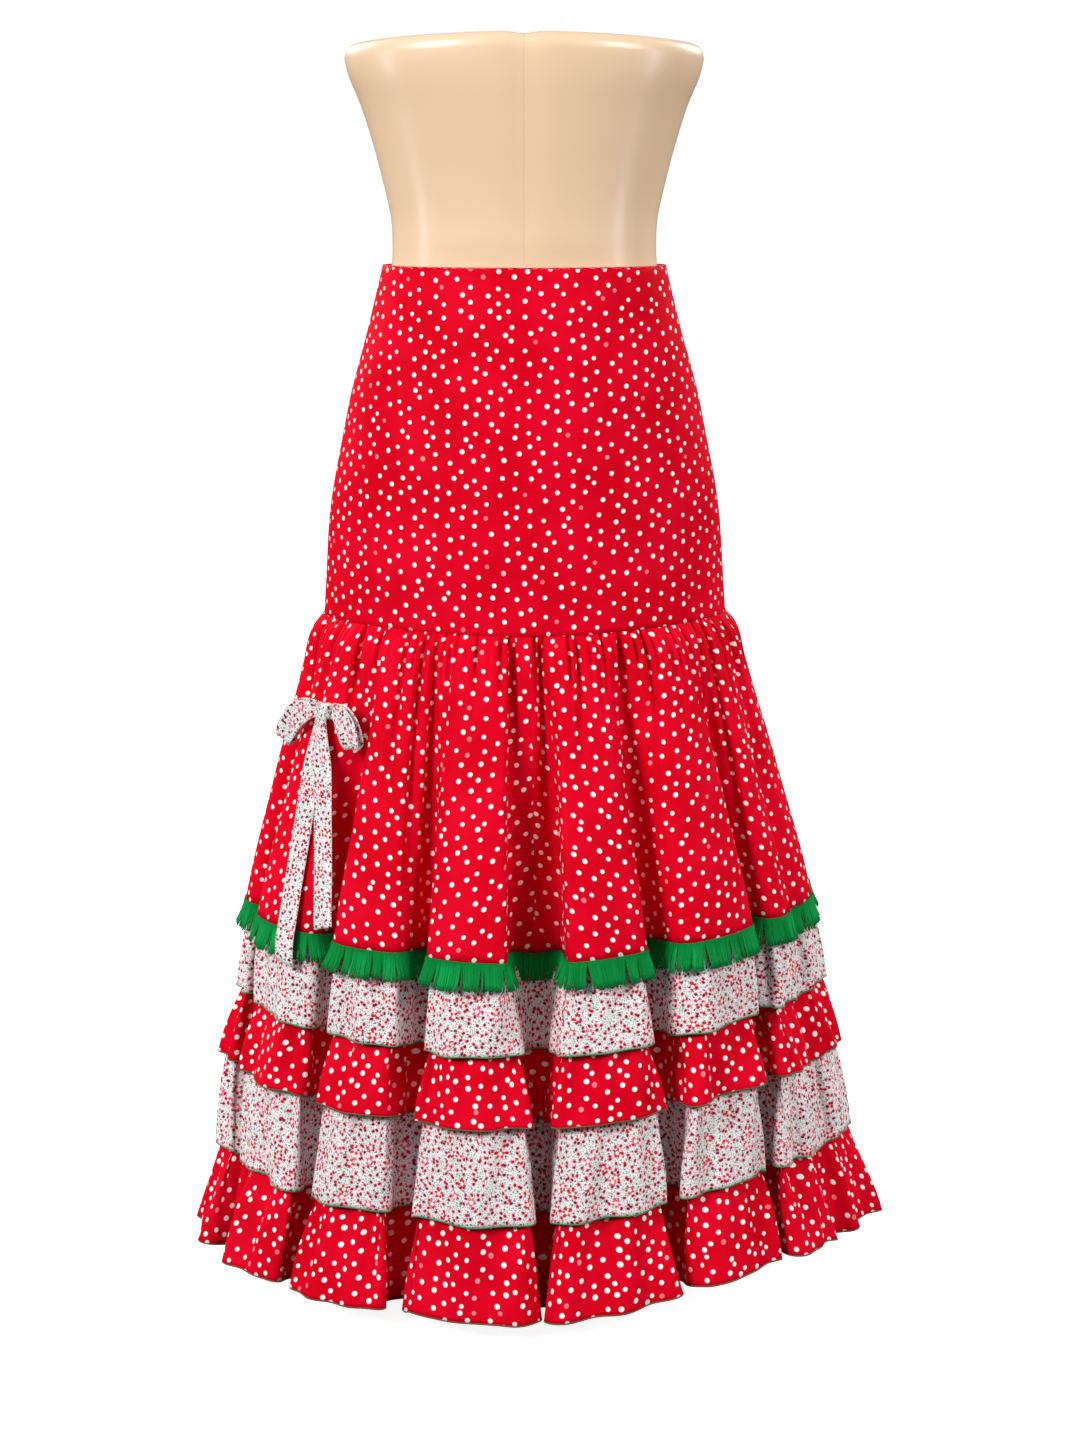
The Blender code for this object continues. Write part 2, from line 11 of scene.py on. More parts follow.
import bpy
import numpy as np
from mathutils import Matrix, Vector


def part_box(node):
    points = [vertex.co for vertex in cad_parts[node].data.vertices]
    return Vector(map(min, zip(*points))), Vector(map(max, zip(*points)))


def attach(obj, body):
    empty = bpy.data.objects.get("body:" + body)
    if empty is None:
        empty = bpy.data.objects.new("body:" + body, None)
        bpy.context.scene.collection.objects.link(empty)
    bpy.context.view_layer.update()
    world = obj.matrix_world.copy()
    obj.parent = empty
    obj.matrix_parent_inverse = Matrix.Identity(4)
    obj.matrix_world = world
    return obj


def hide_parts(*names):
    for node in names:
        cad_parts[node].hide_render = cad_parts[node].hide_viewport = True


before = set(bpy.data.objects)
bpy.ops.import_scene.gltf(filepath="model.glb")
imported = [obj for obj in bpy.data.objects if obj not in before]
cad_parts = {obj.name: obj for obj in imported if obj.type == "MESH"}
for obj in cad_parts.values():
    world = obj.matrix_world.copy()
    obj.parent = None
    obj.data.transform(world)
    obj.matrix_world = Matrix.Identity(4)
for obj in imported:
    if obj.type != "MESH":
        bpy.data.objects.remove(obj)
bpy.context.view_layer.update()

print("solids:", sorted(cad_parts))

# %% [markdown]
# ## The camera
# The photograph was taken from the front with a long lens, a little above the waist and tilted down.
# A lens could be guessed by eye, but here the width of the waist and the heights of the hems fix it:
# 3290 pixels of focal length in a picture that is 1448 pixels high.

# %% Camera
PICTURE_HEIGHT = 1448
FOCAL_PIXELS = 3290
SENSOR_HEIGHT = 36.0
CAMERA_PLACE = (0.0168, -3.0, 1.0145)
CAMERA_TILT = 9.75


def placed(name, data, place=(0.0, 0.0, 0.0)):
    """A new object in the scene."""
    made = bpy.data.objects.new(name, data)
    made.location = place
    bpy.context.scene.collection.objects.link(made)
    return made


camera_data = bpy.data.cameras.new("camera")
camera_data.sensor_fit = "VERTICAL"
camera_data.sensor_height = SENSOR_HEIGHT
camera_data.lens = FOCAL_PIXELS / PICTURE_HEIGHT * SENSOR_HEIGHT
camera = placed("camera", camera_data, CAMERA_PLACE)
camera.rotation_euler = (math.radians(90 - CAMERA_TILT), 0, 0)
bpy.context.scene.camera = camera
print("lens in mm:", round(camera_data.lens, 1))

# %% [markdown]
# ## Sizes that the cloth follows
# A pattern cutter notes a garment's girth at a few heights and lets the curve run between them. The
# same tables made the solids, so cloth that follows them lies where the solids are. A height in the
# skirt is a drop below its waist edge. An azimuth is 0 degrees at the centre front.

# %% Sizes of the yoke and of the falling cloth
WAIST_Z = 0.920
SEAM_DROP = 0.322
FLOUNCE_HEM = 0.592
RUFFLE_HEM = 0.672
SKIRT_DROP = 0.900


def table(kind, *rows):
    """Rows of numbers as rows whose columns have names."""
    return [kind(*row) for row in rows]


Oval = namedtuple("Oval", "at half_width front back")
YOKE = table(
    Oval,
    (0.000, 0.1280, 0.0895, 0.0930), (0.056, 0.1409, 0.0985, 0.1050), (0.128, 0.1593, 0.1090, 0.1235),
    (0.201, 0.1736, 0.1175, 0.1350), (0.275, 0.1808, 0.1240, 0.1395), (0.322, 0.1838, 0.1285, 0.1425),
)
FALL = table(
    namedtuple("Fall", "at half_width front back depth neck undercut"),
    (0.322, 0.1838, 0.1285, 0.1425, 0.000, 0.000, 0.000),
    (0.334, 0.1930, 0.1390, 0.1520, 0.003, 0.010, 0.000),
    (0.368, 0.2048, 0.1570, 0.1680, 0.008, 0.035, 0.004),
    (0.405, 0.2154, 0.1720, 0.1815, 0.014, 0.060, 0.010),
    (0.490, 0.2385, 0.2015, 0.2085, 0.024, 0.095, 0.022),
    (0.592, 0.2640, 0.2330, 0.2385, 0.034, 0.120, 0.034),
    (0.672, 0.2740, 0.2440, 0.2490, 0.036, 0.140, 0.040),
    (0.733, 0.2895, 0.2570, 0.2615, 0.040, 0.150, 0.044),
    (0.818, 0.3000, 0.2650, 0.2695, 0.043, 0.165, 0.050),
    (0.900, 0.3197, 0.2830, 0.2870, 0.047, 0.165, 0.050),
)


print("hip girth in mm:", round(1000 * math.pi * (YOKE[-1].half_width + YOKE[-1].front)))

# %% Curves through the tables


def part_way(value, start, end):
    """How far a value has come from a start to an end: 0 before the one, 1 after the other."""
    return np.clip((value - start) / (end - start), 0.0, 1.0)


def smooth_step(t):
    """0 before 0, 1 after 1, and a soft slope between."""
    t = np.clip(t, 0.0, 1.0)
    return t * t * (3 - 2 * t)


def interpolated(rows, at):
    """The row of a table at any value of its first column, on one smooth curve through the rows."""
    numbers = np.array(rows, float)
    key = numbers[:, 0]
    low = int(np.clip(np.searchsorted(key, at) - 1, 0, len(key) - 2))
    slope = np.gradient(numbers, key, axis=0) * (key[low + 1] - key[low])
    t = part_way(at, key[low], key[low + 1])
    curve = numbers[low] + (numbers[low + 1] - numbers[low]) * smooth_step(t)
    curve += t * (1 - t) * ((1 - t) * slope[low] - t * slope[low + 1])
    return type(rows[0])(*curve)


def unit(vectors):
    """Each vector at length one."""
    return vectors / np.linalg.norm(vectors, axis=-1, keepdims=True)


def oval(row, azimuth):
    """Points of an oval whose front and back halves have their own depth, for azimuths in radians."""
    depth = np.where(np.cos(azimuth) > 0, row.front, row.back)
    return np.stack([row.half_width * np.sin(azimuth), -depth * np.cos(azimuth)], axis=-1)


def oval_outward(row, azimuth):
    """Unit normals of that oval."""
    depth = np.where(np.cos(azimuth) > 0, row.front, row.back)
    return unit(np.stack([np.sin(azimuth) / row.half_width, -np.cos(azimuth) / depth], axis=-1))


print("half width between two rows of the yoke, in m:", round(interpolated(YOKE, 0.3).half_width, 4))

# %% [markdown]
# ## The falling folds
# Gathered cloth falls in rounded folds with narrow hollows between them, and the hollows run on from
# tier to tier, leaning a little. A cloth simulation would place them by chance. Here sixteen hollows
# stand at azimuths read from the photograph, and the cloth between two of them is one fold. The five
# numbers of a fold are its hollow's azimuth, how far that leans by the hem, how hollow it is, how much
# deeper it grows, and its gap. A wide gap gives a hollow with a flat floor, like a box pleat, which
# closes towards the hem. Every fold gets the same number of columns at equal steps along its curve, so
# a column is one thread line.

# %% Numbers of the folds
FOLDS = np.array([
    (-92.0, 0.0, 0.90, 0.012, 0.00), (-76.0, 8.0, 0.80, 0.012, 0.00), (-44.7, -0.7, 0.90, 0.018, 0.01),
    (-23.1, -1.2, 0.92, 0.020, 0.00), (1.6, 0.0, 1.06, 0.022, 0.16), (27.4, -0.9, 1.04, 0.022, 0.02),
    (54.5, -8.0, 0.92, 0.018, 0.00), (68.0, -2.6, 0.30, 0.002, 0.00), (88.0, 0.0, 0.92, 0.014, 0.02),
    (110.0, 2.0, 0.86, 0.012, 0.00), (132.0, -2.0, 1.00, 0.018, 0.08), (154.5, 1.5, 0.90, 0.014, 0.00),
    (177.0, 0.0, 1.02, 0.020, 0.12), (200.0, -2.0, 0.92, 0.014, 0.00), (223.0, 2.0, 0.88, 0.016, 0.03),
    (246.0, -1.5, 0.96, 0.014, 0.00),
])
FOLD_COUNT = len(FOLDS)
START, LEAN, HOLLOW, DEEPER, GAP = np.vstack([FOLDS, FOLDS[0] + (360, 0, 0, 0, 0)]).T
TOP_NARROWING, HEM_NARROWING, DEEP_NARROWING = 1.3, 1.9, 3.0
NECK_MORE, UNDERCUT_MORE = 1.30, 1.60
FULL_HOLLOW, FULL_GAP = 0.80, 0.16
GAP_SHUT, GAP_FADE = 0.30, 6
BOX_EDGE, BOX_FLOOR = 0.42, 0.78
CURVE_STEPS = 480
COLUMNS_PER_FOLD = 60
COLUMNS = COLUMNS_PER_FOLD * FOLD_COUNT
BACK_FOLD = 12
PLACE = (BACK_FOLD + np.arange(COLUMNS) / COLUMNS_PER_FOLD) % FOLD_COUNT
IN_HOLLOW = (1 + np.cos(2 * np.pi * PLACE)) / 2  # 1 in a hollow and 0 on a crest, for each column
TUCK_EASE = 6
SWAY = 0.009
SIDE_RISE, RIGHT_RISE, CORNER_RISE = 0.011, 0.016, 0.015
print("folds:", FOLD_COUNT, "columns:", COLUMNS)

# %% One ring of the folds


def reach_along(line, closed=False):
    """How far along a line each of its points is. A closed line comes back to its start at the end."""
    steps = np.diff(line, axis=0, append=line[:1]) if closed else np.diff(line, axis=0)
    return np.append(0.0, np.cumsum(np.linalg.norm(steps, axis=1)))


def points_at(line, reach, want):
    """The points of a line at the wanted ways along it."""
    return np.stack([np.interp(want, reach, line[:, i]) for i in range(line.shape[1])], axis=-1)


def fold_ring(drop):
    """The ring of the falling cloth at a drop. It starts at the hollow of the centre back."""
    row = interpolated(FALL, drop)
    grown = part_way(drop, SEAM_DROP, FLOUNCE_HEM)
    fallen = part_way(drop, FLOUNCE_HEM, SKIRT_DROP)
    turn = np.arange(CURVE_STEPS * FOLD_COUNT) / CURVE_STEPS
    fold, place = turn.astype(int), turn % 1.0
    near = fold + (place > 0.5)
    gap = GAP[near] * ((1 - fallen) ** GAP_FADE - GAP_SHUT * fallen)
    tight = np.minimum(HOLLOW[near] / FULL_HOLLOW, 1.0)
    neck = np.maximum(NECK_MORE * row.neck - gap, 0.0) * tight
    along = fold + place - neck * np.sin(2 * np.pi * place)
    along += UNDERCUT_MORE * row.undercut * tight * np.sin(4 * np.pi * place)
    azimuth = np.radians(np.interp(along, np.arange(FOLD_COUNT + 1), START + LEAN * fallen))
    cup = (1 + np.cos(2 * np.pi * place)) / 2
    boxy = np.clip(gap / FULL_GAP, 0.0, 1.0)
    box = boxy * smooth_step((cup - BOX_EDGE) / (BOX_FLOOR - BOX_EDGE))
    below = part_way(drop, FLOUNCE_HEM, RUFFLE_HEM)
    rounded = cup ** (TOP_NARROWING + (HEM_NARROWING - TOP_NARROWING) * below)
    inwards = (rounded * (1 - boxy) + box) * HOLLOW[near] * row.depth
    inwards += (cup**DEEP_NARROWING * (1 - boxy) + box) * DEEPER[near] * grown**1.3
    curve = oval(row, azimuth) - oval_outward(row, azimuth) * inwards[:, None]
    curve[:, 0] += SWAY * part_way(drop, SEAM_DROP, SKIRT_DROP)
    curve = np.roll(curve, -BACK_FOLD * CURVE_STEPS, axis=0)
    curve = np.concatenate([curve, curve[:1]])
    folds = []
    for first in range(0, FOLD_COUNT * CURVE_STEPS, CURVE_STEPS):
        run = curve[first : first + CURVE_STEPS + 1]
        reach = reach_along(run)
        want = np.arange(COLUMNS_PER_FOLD) / COLUMNS_PER_FOLD * reach[-1]
        folds.append(points_at(run, reach, want))
    return np.concatenate(folds)


for drop in (SEAM_DROP, FLOUNCE_HEM, SKIRT_DROP):
    girth = reach_along(fold_ring(drop), closed=True)[-1]
    print(f"cloth round the folds at a drop of {drop:.3f} m: {girth:.2f} m")

# %% Rings moved, softened and hung


def ring_outward(ring):
    """The way out at each point of a closed ring that runs anticlockwise seen from above."""
    along = np.roll(ring, -1, axis=0) - np.roll(ring, 1, axis=0)
    return unit(np.column_stack([along[:, 1], -along[:, 0]]))


def eased(ring, times):
    """The ring with its sharpest turns softened."""
    for _ in range(times):
        ring = (np.roll(ring, 1, axis=0) + 2 * ring + np.roll(ring, -1, axis=0)) / 4
    return ring


def tucked(ring, distance):
    """The ring moved inwards, for cloth that hangs behind other cloth. It keeps the hollows deep."""
    return ring - unit(eased(ring_outward(ring), TUCK_EASE)) * distance


def hung(rings, drops):
    """Rings at their drops as points in space, a little higher over the hips than at the centre."""
    x, y = np.moveaxis(np.array(rings), -1, 0)
    down = np.array(drops)[:, None] + 0 * x
    low = part_way(down, 0.0, SKIRT_DROP)
    wide = x**2 / (x**2 + y**2)
    rise = (SIDE_RISE * part_way(down, 0.0, FLOUNCE_HEM) + RIGHT_RISE * (x > 0) * low**2) * wide
    rise += CORNER_RISE * (x > 0) * 4 * wide * (1 - wide) * low**4
    return np.stack([x, y, WAIST_Z - down + rise], axis=-1)


low_ring = hung([fold_ring(SKIRT_DROP)], [SKIRT_DROP])[0]
print("the hem is from", [round(1000 * z) for z in (low_ring[:, 2].min(), low_ring[:, 2].max())],
      "mm above the floor")

# %% [markdown]
# ## Creases, pipes and puckers
# Between the big folds the cloth has smaller shapes. Gathers pull sharp creases down from the seam of
# the flounce. On the ruffles, rounded pipes stand out at the hem, each as wide as a thumb or two, and
# puckers run down from the line where the ruffle is sewn. They could come from noise, but the eye
# knows the photograph's uneven spacing, so the tables list them one by one. A place is a fold's number
# and the share of the way across it. The hidden half repeats the front half in reverse.

# %% Tables of the smaller shapes
FLOUNCE_CREASES = table(
    namedtuple("Crease", "place half_width depth length"),
    (0.40, 0.120, 0.0050, 0.090), (1.02, 0.100, 0.0070, 0.110), (1.45, 0.080, 0.0060, 0.120),
    (1.83, 0.060, 0.0080, 0.110), (2.10, 0.060, 0.0060, 0.075), (2.53, 0.075, 0.0075, 0.170),
    (2.78, 0.085, 0.0095, 0.290), (2.96, 0.070, 0.0070, 0.240), (3.12, 0.050, 0.0050, 0.080),
    (3.40, 0.070, 0.0040, 0.070), (3.66, 0.050, 0.0048, 0.080), (3.82, 0.075, 0.0100, 0.290),
    (4.10, 0.070, 0.0110, 0.290), (4.30, 0.050, 0.0044, 0.070), (4.50, 0.065, 0.0076, 0.130),
    (4.72, 0.050, 0.0040, 0.070), (4.98, 0.085, 0.0100, 0.250), (5.25, 0.060, 0.0070, 0.150),
    (5.55, 0.060, 0.0058, 0.085), (5.80, 0.060, 0.0070, 0.100), (6.28, 0.110, 0.0090, 0.200),
    (6.70, 0.090, 0.0056, 0.100), (7.15, 0.100, 0.0060, 0.110), (7.58, 0.110, 0.0056, 0.100),
)
CREASE_KNEE, CREASE_SPREAD = 1.6, 0.6
Pipe = namedtuple("Pipe", "place half_width height")
PIPES = {
    "flounce": table(
        Pipe, (1.40, 0.22, 0.0030), (2.40, 0.20, 0.0024), (3.50, 0.24, 0.0030), (4.40, 0.20, 0.0026),
        (5.45, 0.24, 0.0030), (6.50, 0.22, 0.0030),
    ),
    "ruffle_1_floral": table(
        Pipe, (0.55, 0.24, 0.004), (1.66, 0.20, 0.009), (2.55, 0.24, 0.005), (3.45, 0.17, 0.012),
        (4.52, 0.27, 0.008), (5.38, 0.22, 0.006), (6.40, 0.20, 0.007), (7.50, 0.20, 0.005),
    ),
    "ruffle_2_dots": table(
        Pipe, (0.60, 0.20, 0.005), (1.58, 0.22, 0.005), (2.50, 0.19, 0.007), (3.50, 0.18, 0.011),
        (4.50, 0.24, 0.005), (5.28, 0.15, 0.007), (5.66, 0.10, 0.003), (6.45, 0.20, 0.008),
        (7.45, 0.18, 0.005),
    ),
    "ruffle_3_floral": table(
        Pipe, (0.50, 0.22, 0.005), (1.72, 0.17, 0.010), (2.48, 0.17, 0.010), (3.55, 0.24, 0.011),
        (4.34, 0.10, 0.008), (4.57, 0.09, 0.009), (5.35, 0.20, 0.007), (6.35, 0.22, 0.009),
        (7.50, 0.20, 0.006),
    ),
    "ruffle_4_dots": table(
        Pipe, (0.60, 0.20, 0.005), (1.50, 0.28, 0.006), (2.50, 0.17, 0.011), (3.61, 0.13, 0.012),
        (4.27, 0.10, 0.007), (4.52, 0.09, 0.009), (5.28, 0.12, 0.010), (5.62, 0.09, 0.004),
        (6.45, 0.20, 0.010), (7.40, 0.16, 0.007),
    ),
}
PIPE_EDGE = 0.62
print("creases:", 2 * len(FLOUNCE_CREASES), "pipes:", 2 * sum(len(pipes) for pipes in PIPES.values()))

# %% Relief from the tables


def away_from(place):
    """How far each column is from a place and from the one like it in the hidden half, in folds."""
    half = FOLD_COUNT / 2
    return [np.abs((PLACE - here + half) % FOLD_COUNT - half) for here in (place, FOLD_COUNT - place)]


def uneven_waves(*counts):
    """Waves round the skirt whose height and spacing change as they go, between about -1 and 1."""
    turn = 2 * np.pi * PLACE / FOLD_COUNT
    waves = sum(np.cos(count * turn + 1.7 * i) for i, count in enumerate(counts))
    return waves / len(counts) * 1.5


def pipe_relief(name):
    """The pipes at a tier's hem."""
    relief = np.zeros(COLUMNS)
    for pipe in PIPES[name]:
        for away in away_from(pipe.place):
            relief += pipe.height * smooth_step((1 - away / pipe.half_width) / PIPE_EDGE)
    return relief


print("highest pipe in mm:", round(1000 * max(pipe_relief(name).max() for name in PIPES), 1))

# %% [markdown]
# ## Nodes for finishes
# Every finish here is worked out by shader nodes, with no picture behind it. Small helpers keep the
# graphs short. One adds a node and fills its sockets, and the others each make one kind of step: a
# sum, a soft change from one range to another, a mix of two colours, clouds, or scattered points.

# %% Helpers for shader nodes
WHOLE_TURN = 2 * math.pi
THREAD = 0.0011
BUMP_DISTANCE = 0.002


def linear(red, green, blue):
    """A colour given by its screen values from 0 to 255, as the linear colour that a shader takes."""
    screen = np.array([red, green, blue]) / 255
    light = np.where(screen <= 0.04045, screen / 12.92, ((screen + 0.055) / 1.055) ** 2.4)
    return (*light.tolist(), 1.0)


def fill(tree, socket, value):
    """Links a socket if the value is an output, and otherwise sets it."""
    if isinstance(value, bpy.types.NodeSocket):
        tree.links.new(value, socket)
    else:
        socket.default_value = value


def add_node(tree, kind, sockets=(), **settings):
    """A new node with its settings and sockets filled."""
    made = tree.nodes.new("ShaderNode" + kind)
    for name, value in settings.items():
        setattr(made, name, value)
    for key, value in dict(sockets).items():
        fill(tree, made.inputs[key], value)
    return made


print("white as a shader takes it:", linear(255, 255, 255))

# %% Steps of a shader graph


def sums(tree, operation, *values):
    """One step of arithmetic."""
    return add_node(tree, "Math", dict(enumerate(values)), operation=operation).outputs[0]


def vectors(tree, operation, *values):
    """One step of vector arithmetic. A length and a dot product come out as numbers."""
    made = add_node(tree, "VectorMath", dict(enumerate(values)), operation=operation)
    return made.outputs["Value" if operation in ("LENGTH", "DOT_PRODUCT") else "Vector"]


def parts(tree, vector):
    """The parts X, Y and Z of a vector."""
    return add_node(tree, "SeparateXYZ", {0: vector}).outputs


def remapped(tree, value, low, high, to_low=0.0, to_high=1.0):
    """A value taken softly from one range to another."""
    sockets = {"Value": value, 1: low, 2: high, 3: to_low, 4: to_high}
    return add_node(tree, "MapRange", sockets, interpolation_type="SMOOTHSTEP").outputs["Result"]


def mixed(tree, share, first, second):
    """Two colours mixed by a share."""
    return add_node(tree, "Mix", {0: share, 6: first, 7: second}, data_type="RGBA").outputs[2]


def clouds(tree, where, scale, detail=2.0):
    """Soft noise around one half."""
    return add_node(tree, "TexNoise", {"Vector": where, "Scale": scale, "Detail": detail}).outputs["Fac"]


def turned_by(tree, where, angle):
    """A flat place turned by an angle in radians."""
    return add_node(tree, "Mapping", {"Vector": where, "Rotation": (0, 0, angle)}).outputs[0]


def scattered(tree, where, cell, jitter):
    """One point in each square cell: the way from it to a place, and its three chances from 0 to 1."""
    sockets = {"Vector": where, "Scale": 1 / cell, "Randomness": jitter}
    made = add_node(tree, "TexVoronoi", sockets, voronoi_dimensions="2D")
    away = vectors(tree, "SUBTRACT", where, made.outputs["Position"])
    return away, parts(tree, made.outputs["Color"])


print("steps ready")

# %% Finishes and their bumps


def cloth_place(tree):
    """Where a point lies on the flat cloth, in metres."""
    return add_node(tree, "UVMap", uv_map="cloth").outputs[0]


def object_place(tree):
    """Where a point lies on a solid object, in metres."""
    return add_node(tree, "TexCoord").outputs["Object"]


def new_finish(name, roughness, specular=0.5, **more):
    """A material whose shader has its constant values on its own sockets. An underscore is a space."""
    material = bpy.data.materials.new(name)
    material.use_nodes = True
    shader = material.node_tree.nodes["Principled BSDF"]
    for key, value in {"Roughness": roughness, "Specular IOR Level": specular, **more}.items():
        shader.inputs[key.replace("_", " ")].default_value = value
    return material, material.node_tree, shader


def bumped(tree, shader, height, strength, distance):
    """The height as the shader's bump."""
    sockets = {"Height": height, "Strength": strength, "Distance": distance}
    fill(tree, shader.inputs["Normal"], add_node(tree, "Bump", sockets).outputs[0])


def woven_bump(tree, shader, where, strength):
    """Crossing threads of a plain weave, and a few soft wrinkles, as the shader's bump."""
    waves = []
    for axis in ("X", "Y"):
        turn = sums(tree, "MULTIPLY", parts(tree, where)[axis], WHOLE_TURN / THREAD)
        waves.append(sums(tree, "SINE", turn))
    wrinkles = clouds(tree, where, 55.0, detail=3.0)
    height = sums(tree, "MULTIPLY_ADD", sums(tree, "MULTIPLY", *waves), 0.08, wrinkles)
    bumped(tree, shader, height, strength, BUMP_DISTANCE)


print("threads in a centimetre of cloth:", round(0.01 / THREAD))

# %% [markdown]
# ## Red cotton with white dots
# The yoke, the flounce and two ruffles are red cotton with dots that look thrown at random but never
# touch. Scattered real discs would be heavy, and noise gives blots. A Voronoi texture has one point in
# each cell, so a dot round that point keeps its distance. Its square cells are slanted into a lattice of
# triangles, which hides their rows. Some dots are printed faintly, and the red varies a little.

# %% Dotted cotton
RED_DEEP = linear(205, 0, 26)
RED_LIGHT = linear(221, 4, 38)
DOT_WHITE = linear(252, 246, 242)
DOT_FAINT = linear(230, 120, 128)
DOT_TURN = 0.5
DOT_SOFT = 0.00025
SMALL_DOT, LARGE_DOT = 0.90, 1.08
ROOT_3 = math.sqrt(3)


def slant(tree, vector, first, second, scale):
    """A flat vector whose two places are taken along other directions."""
    x, y = (vectors(tree, "DOT_PRODUCT", vector, (scale * way[0], scale * way[1], 0.0))
            for way in (first, second))
    return add_node(tree, "CombineXYZ", {"X": x, "Y": y}).outputs[0]


def dotted_cotton(name, cell, dot, jitter, faint_share=0.05):
    """Red cotton: cell is the spacing of the dots and dot their diameter, both in metres."""
    material, tree, shader = new_finish(name, roughness=0.60, specular=0.02)
    where = cloth_place(tree)
    side = cell * math.sqrt(2 / ROOT_3)
    slanted = slant(tree, turned_by(tree, where, DOT_TURN), (1, -1 / ROOT_3), (0, 2 / ROOT_3), 1 / side)
    away, chance = scattered(tree, slanted, 1.0, jitter)
    reach = vectors(tree, "LENGTH", slant(tree, away, (1, 0.5), (0, ROOT_3 / 2), side))
    size = remapped(tree, chance["Y"], 0.0, 1.0, SMALL_DOT * dot / 2, LARGE_DOT * dot / 2)
    share = remapped(tree, sums(tree, "SUBTRACT", size, reach), -DOT_SOFT, DOT_SOFT)
    faint = remapped(tree, chance["X"], faint_share, faint_share * 0.6)
    white = mixed(tree, faint, DOT_WHITE, DOT_FAINT)
    red = mixed(tree, remapped(tree, clouds(tree, where, 18.0), 0.3, 0.7), RED_DEEP, RED_LIGHT)
    fill(tree, shader.inputs["Base Color"], mixed(tree, share, red, white))
    woven_bump(tree, shader, where, strength=0.22)
    return material


yoke_cotton = dotted_cotton("yoke_dotted_cotton", cell=0.0130, dot=0.0040, jitter=0.48)
flounce_cotton = dotted_cotton("flounce_dotted_cotton", cell=0.0128, dot=0.0041, jitter=0.52)
ruffle_cotton = dotted_cotton("ruffle_dotted_cotton", 0.0124, 0.0045, jitter=0.58, faint_share=0.09)
print("dotted cottons:", 3)

# %% [markdown]
# ## White cotton with small flowers
# Two ruffles and the bow are a pale print of red and pink blossoms, crimson buds in pink haloes, dark
# and green seeds, and a dust of grey and pink specks. A painted picture would blur when seen close.
# Instead each kind is one thing in each Voronoi cell, laid over the kinds before it. A blossom's outline
# comes from the angle round its cell's point: five soft bumps on a circle make five petals.

# %% Kinds of print
GROUND_PALE = linear(243, 236, 236)
GROUND_MINT = linear(223, 234, 229)
HALO_PINK = linear(246, 164, 180)
PETAL_RED = linear(214, 26, 46)
PETAL_PINK = linear(232, 96, 122)
Kind = namedtuple("Kind", "cell turn stretch soft share first second change")
SPECKS = Kind(0.0020, 0.4, 1.5, 0.00025, 0.95, linear(100, 90, 96), linear(216, 130, 150), (0.55, 0.60))
SEEDS = Kind(0.0054, 1.1, 1.3, 0.00025, 0.85, linear(64, 76, 70), linear(104, 160, 126), (0.62, 0.70))
HALOES = Kind(0.0064, 0.0, 1.3, 0.00050, 0.95, HALO_PINK, HALO_PINK, (0.60, 0.72))
BUDS = Kind(0.0064, 0.0, 1.3, 0.00025, 0.95, linear(170, 0, 40), linear(100, 4, 32), (0.60, 0.72))
SPECK_RADIUS, SEED_RADIUS = 0.00060, 0.00095
PRINT_JITTER = 0.95
BLOSSOM_CELL, BLOSSOM_RADIUS, BLOSSOM_SHARE = 0.0190, 0.0048, 0.72
print("a blossom's width in mm:", 2000 * BLOSSOM_RADIUS)

# %% Floral cotton


def chosen(tree, mask, chance, share):
    """The mask in a share of the cells, and nothing in the others."""
    return sums(tree, "MULTIPLY", mask, remapped(tree, chance["X"], share + 0.01, share - 0.01))


def spots(tree, where, kind, radius):
    """Small ovals turned by chance, and their colour."""
    away, chance = scattered(tree, turned_by(tree, where, kind.turn), kind.cell, PRINT_JITTER)
    spin = sums(tree, "MULTIPLY", chance["Z"], WHOLE_TURN)
    spun = add_node(tree, "VectorRotate", {"Vector": away, "Angle": spin}, rotation_type="Z_AXIS")
    squeezed = vectors(tree, "MULTIPLY", spun.outputs[0], (1.0, kind.stretch, 0.0))
    inside = remapped(tree, vectors(tree, "LENGTH", squeezed), radius + kind.soft, radius - kind.soft)
    colour = mixed(tree, remapped(tree, chance["Y"], *kind.change), kind.first, kind.second)
    return chosen(tree, inside, chance, kind.share), colour


def blossoms(tree, where):
    """Five soft petals round a pale eye, and their colour."""
    away, chance = scattered(tree, turned_by(tree, where, 0.2), BLOSSOM_CELL, 0.85)
    split = parts(tree, away)
    angle = sums(tree, "ARCTAN2", split["Y"], split["X"])
    turned = sums(tree, "MULTIPLY_ADD", chance["Z"], WHOLE_TURN, angle)
    petals = sums(tree, "COSINE", sums(tree, "MULTIPLY", turned, 5.0))
    outline = sums(tree, "MULTIPLY_ADD", petals, 0.30 * BLOSSOM_RADIUS, 0.70 * BLOSSOM_RADIUS)
    reach = vectors(tree, "LENGTH", away)
    inside = remapped(tree, sums(tree, "SUBTRACT", outline, reach), -0.0002, 0.0002)
    eye = remapped(tree, reach, 0.44 * BLOSSOM_RADIUS, 0.30 * BLOSSOM_RADIUS)
    petal_colour = mixed(tree, remapped(tree, chance["Y"], 0.60, 0.75), PETAL_RED, PETAL_PINK)
    return chosen(tree, inside, chance, BLOSSOM_SHARE), mixed(tree, eye, petal_colour, GROUND_PALE)


